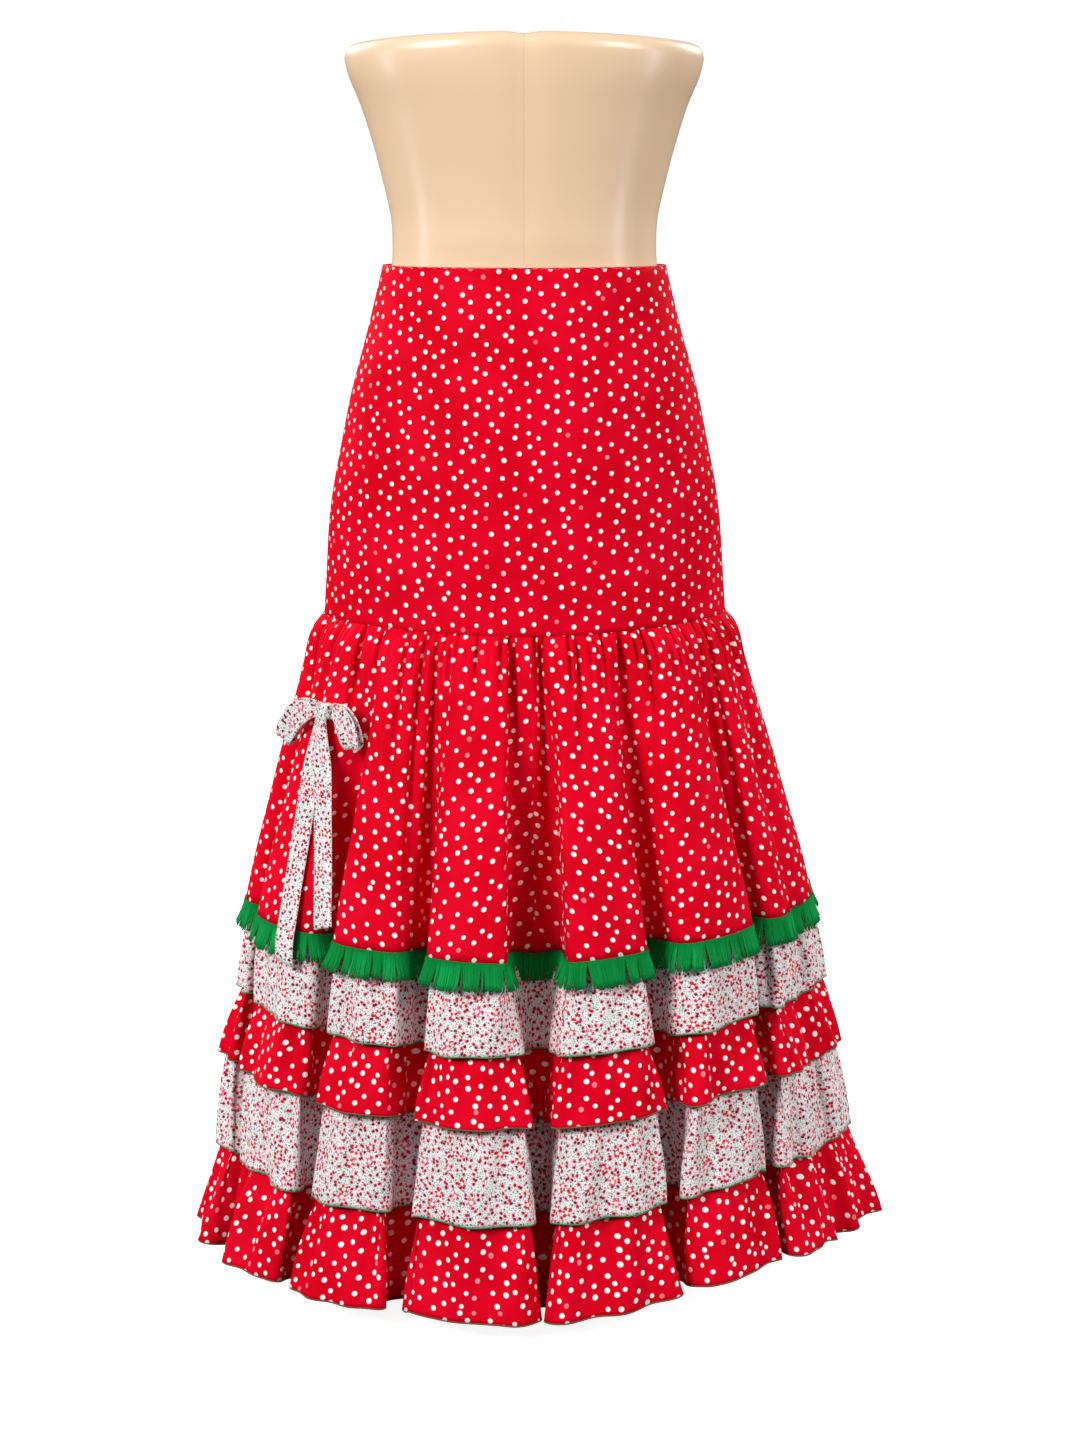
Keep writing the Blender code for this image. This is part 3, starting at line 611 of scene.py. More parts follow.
def floral_cotton(name, halo, bud):
    """Pale cotton with small flowers. halo and bud are the two radii of a bud, in metres."""
    material, tree, shader = new_finish(name, roughness=0.70, specular=0.20, Sheen_Weight=0.04)
    where = cloth_place(tree)
    colour = mixed(tree, remapped(tree, clouds(tree, where, 60.0), 0.42, 0.62), GROUND_PALE, GROUND_MINT)
    layers = [spots(tree, where, SPECKS, SPECK_RADIUS), spots(tree, where, SEEDS, SEED_RADIUS),
              spots(tree, where, HALOES, halo), spots(tree, where, BUDS, bud), blossoms(tree, where)]
    for inside, layer_colour in layers:
        colour = mixed(tree, inside, colour, layer_colour)
    fill(tree, shader.inputs["Base Color"], colour)
    woven_bump(tree, shader, where, strength=0.18)
    return material


ruffle_floral = floral_cotton("ruffle_floral_cotton", halo=0.0022, bud=0.00158)
bow_floral = floral_cotton("bow_floral_ribbon", halo=0.0017, bud=0.00155)
print("floral cottons:", 2)

# %% [markdown]
# ## Cloth as a grid
# Every wall of cloth is a grid of points: rows go down and columns go round. Its flat coordinate is
# kept in metres on each face corner, so that a print keeps its size. A cut edge of real cloth has a
# thickness, and a Solidify modifier gives it.

# %% From a grid to a piece of cloth
CLOTH = 0.0008


def quads(rows, columns, width):
    """Corner numbers of the faces of a grid whose rows have a given number of points."""
    row = np.arange(rows - 1)[:, None]
    column = np.arange(columns)[None, :]
    after = (column + 1) % width
    corners = (row * width + column, (row + 1) * width + column, (row + 1) * width + after,
               row * width + after)
    return np.stack(np.broadcast_arrays(*corners), axis=-1).reshape(-1, 4)


def corner_places(left, right, down):
    """The flat place of each face corner, from the two sides of each cell and the way down of each row."""
    left, right, up = np.broadcast_arrays(left, right, -down[..., None])
    top, low = np.s_[..., :-1, :], np.s_[..., 1:, :]
    across = np.stack([left[top], left[low], right[low], right[top]], axis=-1)
    return np.stack([across, np.stack([up[top], up[low], up[low], up[top]], axis=-1)], axis=-1)


def mesh_from(name, points, faces, flat, finish):
    """A smooth mesh object from points, faces and the flat place of each face corner."""
    mesh = bpy.data.meshes.new(name)
    mesh.from_pydata(points.reshape(-1, 3).tolist(), [], faces)
    layer = mesh.uv_layers.new(name="cloth")
    layer.data.foreach_set("uv", np.ascontiguousarray(flat, dtype=np.float32).ravel())
    mesh.materials.append(finish)
    mesh.shade_smooth()
    return placed(name, mesh)


def way_down(points):
    """How far down the cloth each row lies, as the mean over its columns."""
    steps = np.linalg.norm(np.diff(points, axis=0), axis=-1).mean(axis=1)
    return np.append(0.0, np.cumsum(steps))


def cloth_grid(name, points, left, right, finish, thickness=CLOTH):
    """A piece of cloth. left and right are the flat places across of the two sides of each cell."""
    rows, width = points.shape[:2]
    flat = corner_places(left, right, way_down(points))
    piece = mesh_from(name, points, quads(rows, left.shape[-1], width).tolist(), flat, finish)
    wall = piece.modifiers.new("thickness", "SOLIDIFY")
    wall.thickness = thickness
    wall.offset = -1.0
    print(f"{name}: {rows} rows of {width} points")
    return piece


def ring_steps(points):
    """The length of cloth in each cell of each closed row."""
    return np.linalg.norm(np.roll(points, -1, axis=1) - points, axis=-1)


def dressed(piece, *nodes, slot):
    """The piece rides on the one body and stands for its solids. slot is not used."""
    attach(piece, "root")
    if nodes:
        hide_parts(*nodes)
    return piece


print("cloth thickness in mm:", 1000 * CLOTH)

# %% [markdown]
# ## The yoke
# The yoke is smooth and close-fitting: one front and two backs, joined by side seams and a centre back
# seam that hides the zip. Each panel is a grid on the table's ovals. Its edges sink a little at the
# seams, as pressed seams do, and the front has a few faint drag lines that the hips pull into it.

# %% Yoke panels
SEAM_GAP = 0.0003
SEAM_SINK, SEAM_REACH = 0.0007, 0.0060
EDGE_SINK, EDGE_REACH = 0.0002, 0.010
YOKE_ROWS = 66
DRAG_DEPTH = 0.0006
COLUMN_STEP = math.radians(1.5)


def yoke_panel(name, start, end):
    """The panel between two azimuths in degrees."""
    half_gap = math.degrees(SEAM_GAP / 2 / YOKE[0].front)
    columns = round(math.radians(end - start) / COLUMN_STEP) + 1
    azimuth = np.radians(np.linspace(start + half_gap, end - half_gap, columns))
    from_seam = np.minimum(azimuth - azimuth[0], azimuth[-1] - azimuth) * YOKE[-1].half_width
    sink = SEAM_SINK * (1 - smooth_step(from_seam / SEAM_REACH))
    drops = np.linspace(0.0, SEAM_DROP - SEAM_GAP, YOKE_ROWS)
    lines = []
    for drop in drops:
        row = interpolated(YOKE, drop)
        drag = np.sin(46 * drop + 2.4 * np.cos(azimuth)) * np.sin(azimuth * 2.2 + 9 * drop)
        edge = EDGE_SINK * smooth_step((drop - SEAM_DROP) / EDGE_REACH + 1)
        swell = DRAG_DEPTH * (1 + drag) * smooth_step(drop / 0.05) - sink - edge
        lines.append(oval(row, azimuth) + oval_outward(row, azimuth) * swell[:, None])
    points = hung(lines, drops)
    steps = np.linalg.norm(np.diff(points, axis=1), axis=-1)
    across = np.pad(np.cumsum(steps, axis=1), ((0, 0), (1, 0)))
    across += start / 90 - across.mean(axis=1, keepdims=True)
    piece = cloth_grid(f"{name}_cloth", points, across[:, :-1], across[:, 1:], yoke_cotton)
    print("  at its widest, in mm:", round(1000 * steps.sum(axis=1).max()))
    return dressed(piece, name, slot="yoke_cloth")


yoke_front = yoke_panel("yoke_front", -90, 90)
yoke_back_right = yoke_panel("yoke_back_right", 90, 180)
yoke_back_left = yoke_panel("yoke_back_left", 180, 270)

# %% [markdown]
# ## The flounce
# The flounce is cut wider at the hem than at the top, in eight gores whose seams lie in the hollows,
# and its top is gathered into the yoke's seam. So each gore is measured along its own rows: the dots
# stay round from the puckered seam down to the hem. Its relief is made of fine puckers that fade
# within a few centimetres, the table's creases, and low pipes towards the hem. Nothing spreads the
# cloth in a hollow, so it sags there, and the hem waves up and down as well as in and out.

# %% Shape of the flounce
FLOUNCE_ROWS = 46
GORES = 8
TUCK, TUCK_GAP = 0.002, 0.0002
PUCKER_HEIGHT, PUCKER_FADE = 0.0052, 0.035
PUCKER_WAVES = (131, 173, 223)
PUCKER_START, PUCKER_TOP, PUCKER_CUT = 0.55, 0.52, 1.35
GATHER_HELD = 0.024
CREASE_START = 0.012
FLOUNCE_SAG = 0.005


def flounce_relief(drop, puckered=True):
    """How far the flounce's small shapes stand out of the folds at a drop."""
    below = drop - SEAM_DROP
    grown = smooth_step(below / CREASE_START)
    height = PUCKER_HEIGHT * (PUCKER_START + (1 - PUCKER_START) * grown)
    height *= math.exp(-((below / PUCKER_FADE) ** 2))
    cuts = np.maximum(uneven_waves(*PUCKER_WAVES), 0.0) ** CREASE_KNEE
    relief = puckered * height * (PUCKER_TOP - PUCKER_CUT * cuts)
    for crease in FLOUNCE_CREASES:
        fade = grown * (1 - smooth_step(below / crease.length - 0.20))
        reach = crease.half_width * (1 + CREASE_SPREAD * below / crease.length)
        for away in away_from(crease.place):
            cup = (1 + np.cos(np.pi * np.clip(away / reach, 0.0, 1.0))) / 2
            relief -= crease.depth * fade * cup**CREASE_KNEE
    return relief + pipe_relief("flounce") * smooth_step(below / (FLOUNCE_HEM - SEAM_DROP))


def flounce_ring(drop, puckered=True):
    """The ring of the flounce at a drop."""
    ring = fold_ring(max(drop, SEAM_DROP))
    return ring + ring_outward(ring) * flounce_relief(drop, puckered)[:, None]


def sagged(points, drops, top, sag):
    """Rows whose hollows hang lower and lower from a top drop to the hem."""
    points[..., 2] -= sag * part_way(drops, top, drops[-1])[:, None] ** 2 * IN_HOLLOW**3
    return points


def gore_places(points, gores):
    """The flat places of each cell, with each gore measured from its own middle."""
    steps = ring_steps(points)
    per_gore = steps.reshape(len(points), gores, -1)
    ends = np.cumsum(per_gore, axis=2)
    spread = np.arange(gores)[None, :, None] * per_gore.sum(axis=2).max()
    right = (ends - ends[..., -1:] / 2 + spread).reshape(len(points), -1)
    return right - steps, right


print("deepest crease in mm:", 1000 * max(crease.depth for crease in FLOUNCE_CREASES))

# %% Cloth of the flounce
share = np.linspace(0.0, 1.0, FLOUNCE_ROWS - 1) ** 1.35
flounce_drops = SEAM_DROP + SEAM_GAP + (FLOUNCE_HEM - SEAM_DROP - SEAM_GAP) * share
tuck_ring = fold_ring(SEAM_DROP)
tuck_ring -= ring_outward(tuck_ring) * (CLOTH + TUCK_GAP)
flounce_drops = np.append(SEAM_DROP - TUCK, flounce_drops)
flounce_points = hung([tuck_ring] + [flounce_ring(drop) for drop in flounce_drops[1:]], flounce_drops)
flounce_points = sagged(flounce_points, flounce_drops, SEAM_DROP, FLOUNCE_SAG)
smooth_points = hung([flounce_ring(drop, puckered=False) for drop in flounce_drops], flounce_drops)
left, right = gore_places(smooth_points, GORES)
held = int(np.searchsorted(flounce_drops, SEAM_DROP + GATHER_HELD))
left[:held], right[:held] = left[held], right[held]
flounce = cloth_grid("flounce_cloth", flounce_points, left, right, flounce_cotton)
dressed(flounce, "flounce", slot="flounce_cloth")
print("flounce at the seam and at the hem, in m:",
      [round(float(ring_steps(flounce_points[[i]]).sum()), 2) for i in (0, -1)])

# %% [markdown]
# ## The four ruffles
# Each ruffle is a straight strip, gathered along its top edge and sewn inside the tier above. It comes
# out from behind that tier's hem, so there it repeats that hem's shape, tucked a few millimetres
# inwards. Further down it takes its own folds and pipes, and it sags in the hollows. Puckers run down
# from the hidden seam, wider ridges stand further down, and the hem ripples.

# %% Shape of the ruffles
RUFFLES = table(
    namedtuple("Ruffle", "name top inset hem set_back"),
    ("ruffle_1_floral", 0.568, 0.0030, 0.672, 0.0040),
    ("ruffle_2_dots", 0.650, 0.0050, 0.733, 0.0035),
    ("ruffle_3_floral", 0.709, 0.0065, 0.818, 0.0080),
    ("ruffle_4_dots", 0.794, 0.0045, 0.900, 0.0045),
)
RUFFLE_GAP = 0.0023
HIDDEN_ROWS, RUFFLE_ROWS = 3, 22
BELLY = 0.16
RUFFLE_PUCKER, RUFFLE_RIDGE = 0.0026, 0.0030
RUFFLE_SAG = 0.008
HEM_RIPPLE, HEM_EASE = 0.0011, 5


def ruffle_points(ruffle, above_ring, above_hem, turn):
    """The points of a ruffle and its rings by drop. turn makes its puckers unlike its neighbours'."""
    top = tucked(above_ring(ruffle.top), RUFFLE_GAP)
    waist = tucked(above_ring(above_hem), RUFFLE_GAP + ruffle.inset)
    hem = fold_ring(ruffle.hem)
    out = ring_outward(hem)
    ripple = HEM_RIPPLE * (1 + turn) * uneven_waves(71 - 8 * turn, 55 - 5 * turn)
    hem = eased(hem + out * (pipe_relief(ruffle.name) + ripple - ruffle.set_back)[:, None], HEM_EASE)
    puckers = uneven_waves(127 + turn, 163 + 3 * turn, 191 - turn)
    ridges = uneven_waves(89 + turn, 61 - 2 * turn)

    def ring_at(drop):
        """Hidden, the ruffle repeats the tier above. Below that tier's hem it takes its own shape."""
        if drop <= above_hem:
            share = (drop - ruffle.top) / (above_hem - ruffle.top)
            return top * (1 - share) + waist * share
        share = (drop - above_hem) / (ruffle.hem - above_hem)
        flare = share + BELLY * share * (1 - share)
        held = RUFFLE_PUCKER * math.sin(math.pi * min(1.0, share * 1.3 + 0.05)) * (1 - share) ** 1.5
        stood = RUFFLE_RIDGE * math.sin(math.pi * (0.04 + 0.75 * share))
        return waist * (1 - flare) + hem * flare + out * (puckers * held + ridges * stood)[:, None]

    drops = np.append(np.linspace(ruffle.top, above_hem, HIDDEN_ROWS + 1)[:-1],
                      np.linspace(above_hem, ruffle.hem, RUFFLE_ROWS))
    return sagged(hung([ring_at(drop) for drop in drops], drops), drops, above_hem, RUFFLE_SAG), ring_at


print("ruffles:", len(RUFFLES))

# %% Cloth of the ruffles
tiers = {}
above_ring, above_hem = flounce_ring, FLOUNCE_HEM
for turn, ruffle in enumerate(RUFFLES):
    points, above_ring = ruffle_points(ruffle, above_ring, above_hem, turn)
    above_hem = ruffle.hem
    steps = ring_steps(points[-1:])[0]
    right = np.broadcast_to(np.cumsum(steps), points.shape[:2])
    floral = ruffle.name.endswith("floral")
    slot = "floral_ruffle_cloth" if floral else "dotted_ruffle_cloth"
    finish = ruffle_floral if floral else ruffle_cotton
    piece = cloth_grid(f"{ruffle.name}_cloth", points, right - steps, right, finish)
    tiers[ruffle.name] = (dressed(piece, ruffle.name, slot=slot), points, float(steps.sum()), slot)
    print(f"  strip {steps.sum():.2f} m long")

# %% [markdown]
# ## Many small round things
# Hems, strands, stitches and beads are all little tubes. Thousands of separate objects would make the
# file slow, so one function follows any number of short lines at once and joins their tubes in a
# single mesh, and another follows one closed line, for the rolled hems.

# %% Tubes
HEM_SIDES = 6


def level_out(line):
    """The level way out at each step of a closed line that runs anticlockwise seen from above."""
    steps = np.roll(line, -1, axis=0) - line
    return unit(np.column_stack([steps[:, 1], -steps[:, 0], np.zeros(len(line))]))


def round_of(ways, others, sides):
    """Unit ways round a tube, between two ways at right angles for each of its lines."""
    angle = (2 * np.pi * np.arange(sides) / sides)[:, None]
    return ways[:, None] * np.cos(angle) + others[:, None] * np.sin(angle)


def ring_tube(name, line, radius, finish):
    """A round edge along a closed line of points."""
    steps = np.roll(line, -1, axis=0) - np.roll(line, 1, axis=0)
    out = unit(np.column_stack([steps[:, 1], -steps[:, 0], np.zeros(len(line))]))
    points = line[:, None] + round_of(out, unit(np.cross(out, steps)), HEM_SIDES) * radius
    faces = quads(len(line) + 1, HEM_SIDES, HEM_SIDES) % (len(line) * HEM_SIDES)
    around = np.arange(HEM_SIDES + 1) / HEM_SIDES
    flat = corner_places(around[:-1], around[1:], -reach_along(line, closed=True))[..., ::-1]
    return mesh_from(name, points, faces.tolist(), flat, finish)


def many_tubes(name, middles, radii, out, side, chance, finish, sides=4):
    """Short tubes in one mesh. middles is tubes x steps x 3. chance is kept as the print's first place."""
    count, steps = middles.shape[:2]
    points = middles[:, :, None] + round_of(out, side, sides)[:, None] * radii[:, :, None, None]
    starts = np.arange(count)[:, None] * steps * sides
    faces = (quads(steps, sides, sides) + starts[..., None]).reshape(-1, 4)
    first = starts + np.arange(sides)
    last = first[:, ::-1] + (steps - 1) * sides
    across = chance[:, None, None] * np.ones(sides)
    flat = corner_places(across, across, -np.linspace(0.0, 1.0, steps))
    ends = np.zeros((2 * count * sides, 2))
    ends[:, 0] = np.repeat(np.tile(chance, 2), sides)
    faces = [*faces.tolist(), *first.tolist(), *last.tolist()]
    return mesh_from(name, points, faces, np.concatenate([flat.reshape(-1, 2), ends]), finish)


print("sides of a hem's cord:", HEM_SIDES)

# %% [markdown]
# ## Rolled hems
# The ruffles' edges are overlocked: tight thread wraps the cut edge, green on the floral tiers and a
# brownish green on the dotted ones. At this distance it is a thin cord of slanting threads. The slant
# comes from a wave that runs along the cord and round it at once.

# %% Hems of the ruffles
HEM_RADIUS = 0.00075


def wrapped_thread(name, first, second):
    """Thread of two close colours, wound round an edge."""
    material, tree, shader = new_finish(name, roughness=0.7, specular=0.2, Sheen_Weight=0.1)
    where = cloth_place(tree)
    split = parts(tree, where)
    around = sums(tree, "MULTIPLY", split["Y"], WHOLE_TURN)
    wave = sums(tree, "SINE", sums(tree, "MULTIPLY_ADD", split["X"], WHOLE_TURN / THREAD, around))
    bumped(tree, shader, wave, 0.5, 0.0004)
    fill(tree, shader.inputs["Base Color"], mixed(tree, clouds(tree, where, 90.0), first, second))
    return material


green_thread = wrapped_thread("hem_green_thread", linear(52, 132, 80), linear(84, 160, 112))
olive_thread = wrapped_thread("hem_olive_thread", linear(92, 70, 40), linear(112, 108, 62))
for name, (_, points, _, slot) in tiers.items():
    line = points[-1] - level_out(points[-1]) * CLOTH / 2
    thread = green_thread if name.endswith("floral") else olive_thread
    dressed(ring_tube(f"{name}_hem", line, HEM_RADIUS, thread), slot=slot)

# %% [markdown]
# ## The green fringe
# A narrow tape of green yarn hangs at the flounce's edge, and its cut strands gather in small locks
# that flare outwards. Hair would not be kept as a mesh, and flat cards look like paper, so every
# strand is a thin tube. The strands of a lock lean together and share its length. In the hollows there
# is no room to flare, so there they hang straighter.

# %% Strands of the fringe
STRANDS = 2700
STRANDS_PER_LOCK = 8
STRAND_STEPS = 5
STRAND_RADIUS = 0.00092
FRINGE_LENGTH = 0.0235
FRINGE_FLARE = 0.0085
LOCK_PULL, LOCK_VARIES = 0.28, 0.0016
STRAND_VARIES, STRAND_CURL, STRAND_THINS = 0.0007, 0.0010, 0.18
START_OUT, START_UP = 0.0003, 0.0010
FLARE_LESS, LEAN_LESS = 0.45, 0.85
TAPE_ROWS = np.array([-0.0008, 0.0014, 0.0032])
TAPE_SHADE = 0.45, 0.55
UP = np.array([0.0, 0.0, 1.0])
chance = np.random.default_rng(11)


def fringe_yarn():
    """Green yarn whose strands differ a little, and darken towards the top to one green: painted shade
    under the flounce's hem.
    """
    material, tree, shader = new_finish("fringe_green_yarn", roughness=0.75, specular=0.08)
    split = parts(tree, cloth_place(tree))
    green = mixed(tree, split["X"], linear(0, 116, 46), linear(14, 164, 80))
    # Painted shade: the top third of each strand, and all of the tape, take one dark green for the shadow
    # under the flounce's hem.
    green_with_painted_top_shade = mixed(tree, remapped(tree, split["Y"], 0.0, 0.35), linear(0, 124, 52), green)
    fill(tree, shader.inputs["Base Color"], green_with_painted_top_shade)
    return material


def spread_along(ways, amounts):
    """Steps along ways: one way, and one row of amounts, for each line."""
    return ways[:, None] * amounts[..., None]


def hang_fringe(hem_line):
    """Strands all round a hem."""
    spread = reach_along(hem_line, closed=True)
    at = (np.arange(STRANDS) + chance.uniform(-0.25, 0.25, STRANDS)) / STRANDS * spread[-1]
    ring = np.concatenate([hem_line, hem_line[:1]])
    facing = np.column_stack([ring_outward(eased(hem_line[:, :2], 12)), np.zeros(len(hem_line))])
    place = np.interp(at, spread, np.arange(len(spread)))
    numbers = np.arange(len(ring))
    out = unit(points_at(np.concatenate([facing, facing[:1]]), numbers, place))
    side = np.column_stack([-out[:, 1], out[:, 0], np.zeros(STRANDS)])
    lock = np.cumsum(chance.random(STRANDS) < 1 / STRANDS_PER_LOCK)
    middle = np.bincount(lock, at) / np.bincount(lock)
    own = chance.random((3, lock.max() + 1))[:, lock]
    length = FRINGE_LENGTH + LOCK_VARIES * (own[0] - 0.5)
    length += STRAND_VARIES * chance.uniform(-1, 1, STRANDS)
    hollow = np.interp(place, numbers, np.append(IN_HOLLOW, 1.0)) ** 2
    flare = FRINGE_FLARE * (0.75 + 0.5 * own[1]) * (1 - FLARE_LESS * hollow)
    lean = (middle[lock] - at) * LOCK_PULL + LOCK_VARIES * (own[2] - 0.5)
    lean *= 1 - LEAN_LESS * hollow
    share = np.linspace(0.0, 1.0, STRAND_STEPS)
    start = points_at(ring, numbers, place) + out * START_OUT + UP * START_UP
    curl = STRAND_CURL * chance.uniform(-1, 1, STRANDS)
    middles = start[:, None] + spread_along(out, flare[:, None] * share**1.35)
    middles += spread_along(side, lean[:, None] * share**1.2 + curl[:, None] * share**2)
    middles -= UP * (length[:, None] * share)[..., None]
    radii = STRAND_RADIUS * (1.0 - STRAND_THINS * share) * chance.uniform(0.85, 1.15, STRANDS)[:, None]
    tint = 0.6 * own[0] + 0.4 * chance.random(STRANDS)
    return many_tubes("hem_fringe_strands", middles, radii, out, side, tint, green_yarn)


print("strands to a centimetre of hem:", round(0.01 * STRANDS / ring_steps(flounce_points[-1:]).sum(), 1))

# %% Fringe and its tape
green_yarn = fringe_yarn()
hem_line = flounce_points[-1]
fringe = dressed(hang_fringe(hem_line), "hem_fringe", slot="fringe_yarn")
tape_line = hem_line + level_out(hem_line) * 0.0006
tape_points = tape_line - UP * TAPE_ROWS[:, None, None]
tape_sides = (np.full(tape_points.shape[:2], shade) for shade in TAPE_SHADE)
tape = cloth_grid("hem_fringe_tape", tape_points, *tape_sides, green_yarn)
dressed(tape, slot="fringe_yarn")
print("strands:", STRANDS)

# %% [markdown]
# ## The bow
# The bow is a floral ribbon tied over the left of the flounce: two soft loops, two long tails and a
# knot. Each strip follows a table of its middle line. The tails follow the outside of the folds. The
# ribbon is narrow and pleated where the knot holds it and slightly cupped elsewhere, and its edges
# carry a row of tiny woven beads.

# %% Lines of the bow
RIBBON_WIDTH = 0.021
BOW_FACING = math.radians(-40.0)
KNOT_WIDTH, KNOT_HEIGHT, KNOT_DEPTH = 0.015, 0.016, 0.013
KNOT_SHIFT, KNOT_SINK = 0.005, 0.007
LoopRow = namedtuple("LoopRow", "run side up lift half_width half_gap")
LEFT_LOOP = table(
    LoopRow,
    (-0.0061, -0.0020, 0.0006, 0.0000, 0.0046, 0.0016),
    (0.0000, -0.0081, 0.0012, 0.0000, 0.0060, 0.0024),
    (0.0129, -0.0210, 0.0010, 0.0015, 0.0100, 0.0030),
    (0.0290, -0.0368, -0.0082, 0.0015, 0.0116, 0.0034),
    (0.0436, -0.0480, -0.0205, 0.0000, 0.0114, 0.0034),
    (0.0561, -0.0545, -0.0325, 0.0000, 0.0098, 0.0040),
)
RIGHT_LOOP = table(
    LoopRow,
    (-0.0061, 0.0020, 0.0006, 0.0000, 0.0046, 0.0018),
    (0.0000, 0.0081, 0.0012, 0.0010, 0.0060, 0.0024),
    (0.0119, 0.0200, 0.0005, 0.0045, 0.0097, 0.0036),
    (0.0252, 0.0310, -0.0070, 0.0070, 0.0114, 0.0042),
    (0.0382, 0.0370, -0.0185, 0.0080, 0.0112, 0.0040),
    (0.0492, 0.0380, -0.0295, 0.0080, 0.0096, 0.0040),
)
TailRow = namedtuple("TailRow", "drop azimuth lift")
LEFT_TAIL = table(
    TailRow, (0.3960, -57.0, 0.0062), (0.4100, -56.9, 0.0046), (0.4400, -56.4, 0.0036),
    (0.4900, -55.4, 0.0034), (0.5400, -54.4, 0.0036), (0.5800, -53.4, 0.0060), (0.6030, -52.8, 0.0086),
    (0.6180, -52.5, 0.0084),
)
RIGHT_TAIL = table(
    TailRow, (0.3960, -54.8, 0.0096), (0.4100, -54.0, 0.0086), (0.4400, -51.4, 0.0074),
    (0.4900, -48.0, 0.0058), (0.5350, -45.2, 0.0048), (0.5800, -43.0, 0.0048),
)
BOW_OUT = np.array([math.sin(BOW_FACING), -math.cos(BOW_FACING), 0.0])
BOW_SIDE = np.array([math.cos(BOW_FACING), math.sin(BOW_FACING), 0.0])
knot_low, knot_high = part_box("bow_knot")
KNOT = np.array((knot_low + knot_high) / 2) + BOW_SIDE * KNOT_SHIFT - UP * KNOT_SINK
print("knot in mm:", [round(1000 * value) for value in KNOT])

# %% Ribbons of the bow
RIBBON_COLUMNS = 11
LOOP_STEPS, TAIL_STEPS = 26, 64
LOOP_ROUND, LOOP_CORNER = 0.0075, 0.28
BACK_LESS, BACK_RUN = 0.18, 0.02
HELD_CUP, HELD_RUN = 0.0016, 0.014
LOOP_CUP, TAIL_CUP, TAIL_WAVE = 0.0007, 0.0008, 0.0006
TAIL_NECK, NECK_RUN = 0.42, 0.055
TAIL_CUT, CUT_RUN = 0.006, 0.02
RIBBON_CLOTH = 0.0006


def ribbon(name, middle, across, half_width, cup, normal):
    """A strip from its middle line, the way across it, its half width and how much it is cupped."""
    share = np.linspace(-1.0, 1.0, RIBBON_COLUMNS)
    points = middle[:, None] + spread_along(across, half_width[:, None] * share)
    points += spread_along(normal, cup[:, None] * (1 - share**2))
    flat = share * RIBBON_WIDTH / 2
    piece = cloth_grid(f"{name}_ribbon", points, flat[:-1], flat[1:], bow_floral, RIBBON_CLOTH)
    return dressed(piece, name, slot="bow_ribbon"), points


def there_and_back(front, back):
    """Out along the front of a loop, and home along its back."""
    return np.concatenate([front, back[-2::-1]])


def loop(name, rows):
    """A loop: out along its front layer, round the end, and back behind to the knot."""
    last = rows[-1].run
    run = rows[0].run + (last - rows[0].run) * np.sin(np.linspace(0, np.pi / 2, LOOP_STEPS))
    _, side, up, lift, half_width, half_gap = np.array([interpolated(rows, at) for at in run]).T
    end = part_way(run, last - LOOP_ROUND, last)
    half_width = half_width * (1 - LOOP_CORNER * end**2)
    centre = KNOT + side[:, None] * BOW_SIDE + up[:, None] * UP + lift[:, None] * BOW_OUT
    apart = (half_gap * np.sqrt(1 - end**2))[:, None] * BOW_OUT
    middle = there_and_back(centre + apart, centre - apart)
    across = unit(np.cross(BOW_OUT, unit(np.gradient(centre, axis=0))))
    across = there_and_back(across, across)
    back_width = half_width * (1 - BACK_LESS * smooth_step((last - run) / BACK_RUN))
    cup = LOOP_CUP + HELD_CUP * np.exp(-(((run - run[0]) / HELD_RUN) ** 2))
    normal = unit(np.cross(np.gradient(middle, axis=0), across))
    half_width = there_and_back(half_width, back_width)
    return ribbon(name, middle, across, half_width, -there_and_back(cup, cup), normal)


def tail(name, rows, cut):
    """A tail that hangs over the outside of the folds and ends in a slanting cut."""
    drops = np.linspace(rows[0].drop, rows[-1].drop, TAIL_STEPS)
    middle, outs = [], []
    for drop in drops:
        row, fall = interpolated(rows, drop), interpolated(FALL, drop)
        azimuth = np.array(math.radians(row.azimuth))
        outs.append(oval_outward(fall, azimuth))
        sway = [SWAY * part_way(drop, SEAM_DROP, SKIRT_DROP), 0.0]
        middle.append([oval(fall, azimuth) + outs[-1] * row.lift + sway])
    outs = np.pad(outs, ((0, 0), (0, 1)))
    from_knot = (drops - rows[0].drop) / NECK_RUN
    half_width = RIBBON_WIDTH / 2 * (TAIL_NECK + (1 - TAIL_NECK) * smooth_step(from_knot))
    cup = TAIL_CUP + HELD_CUP * np.exp(-(from_knot**2)) + TAIL_WAVE * np.sin(46 * drops + cut * 300)
    across = np.tile(BOW_SIDE, (TAIL_STEPS, 1))
    across[:, 2] = cut / RIBBON_WIDTH * smooth_step((drops - rows[-1].drop) / CUT_RUN + 1)
    return ribbon(name, hung(middle, drops)[:, 0], across, half_width, cup, outs)


strips = {
    "bow_loop_left": loop("bow_loop_left", LEFT_LOOP),
    "bow_loop_right": loop("bow_loop_right", RIGHT_LOOP),
    "bow_tail_left": tail("bow_tail_left", LEFT_TAIL, -TAIL_CUT),
    "bow_tail_right": tail("bow_tail_right", RIGHT_TAIL, TAIL_CUT),
}

# %% [markdown]
# The knot is the ribbon pulled tight round the middle of the bow. It is modelled as a rounded block
# whose sides carry upright pleats. The woven beads are tiny tubes of three rings along each edge.

# %% Knot and ribbon edges
KNOT_ROWS, KNOT_COLUMNS = 22, 48
KNOT_WRAP, KNOT_FIT = 0.044, 0.92
KNOT_SQUARE = 3
PLEATS = ((7, 0.6, 0.05), (11, 0.0, 0.035))
BEAD_STEP, BEAD_RADIUS = 0.0023, 0.00062


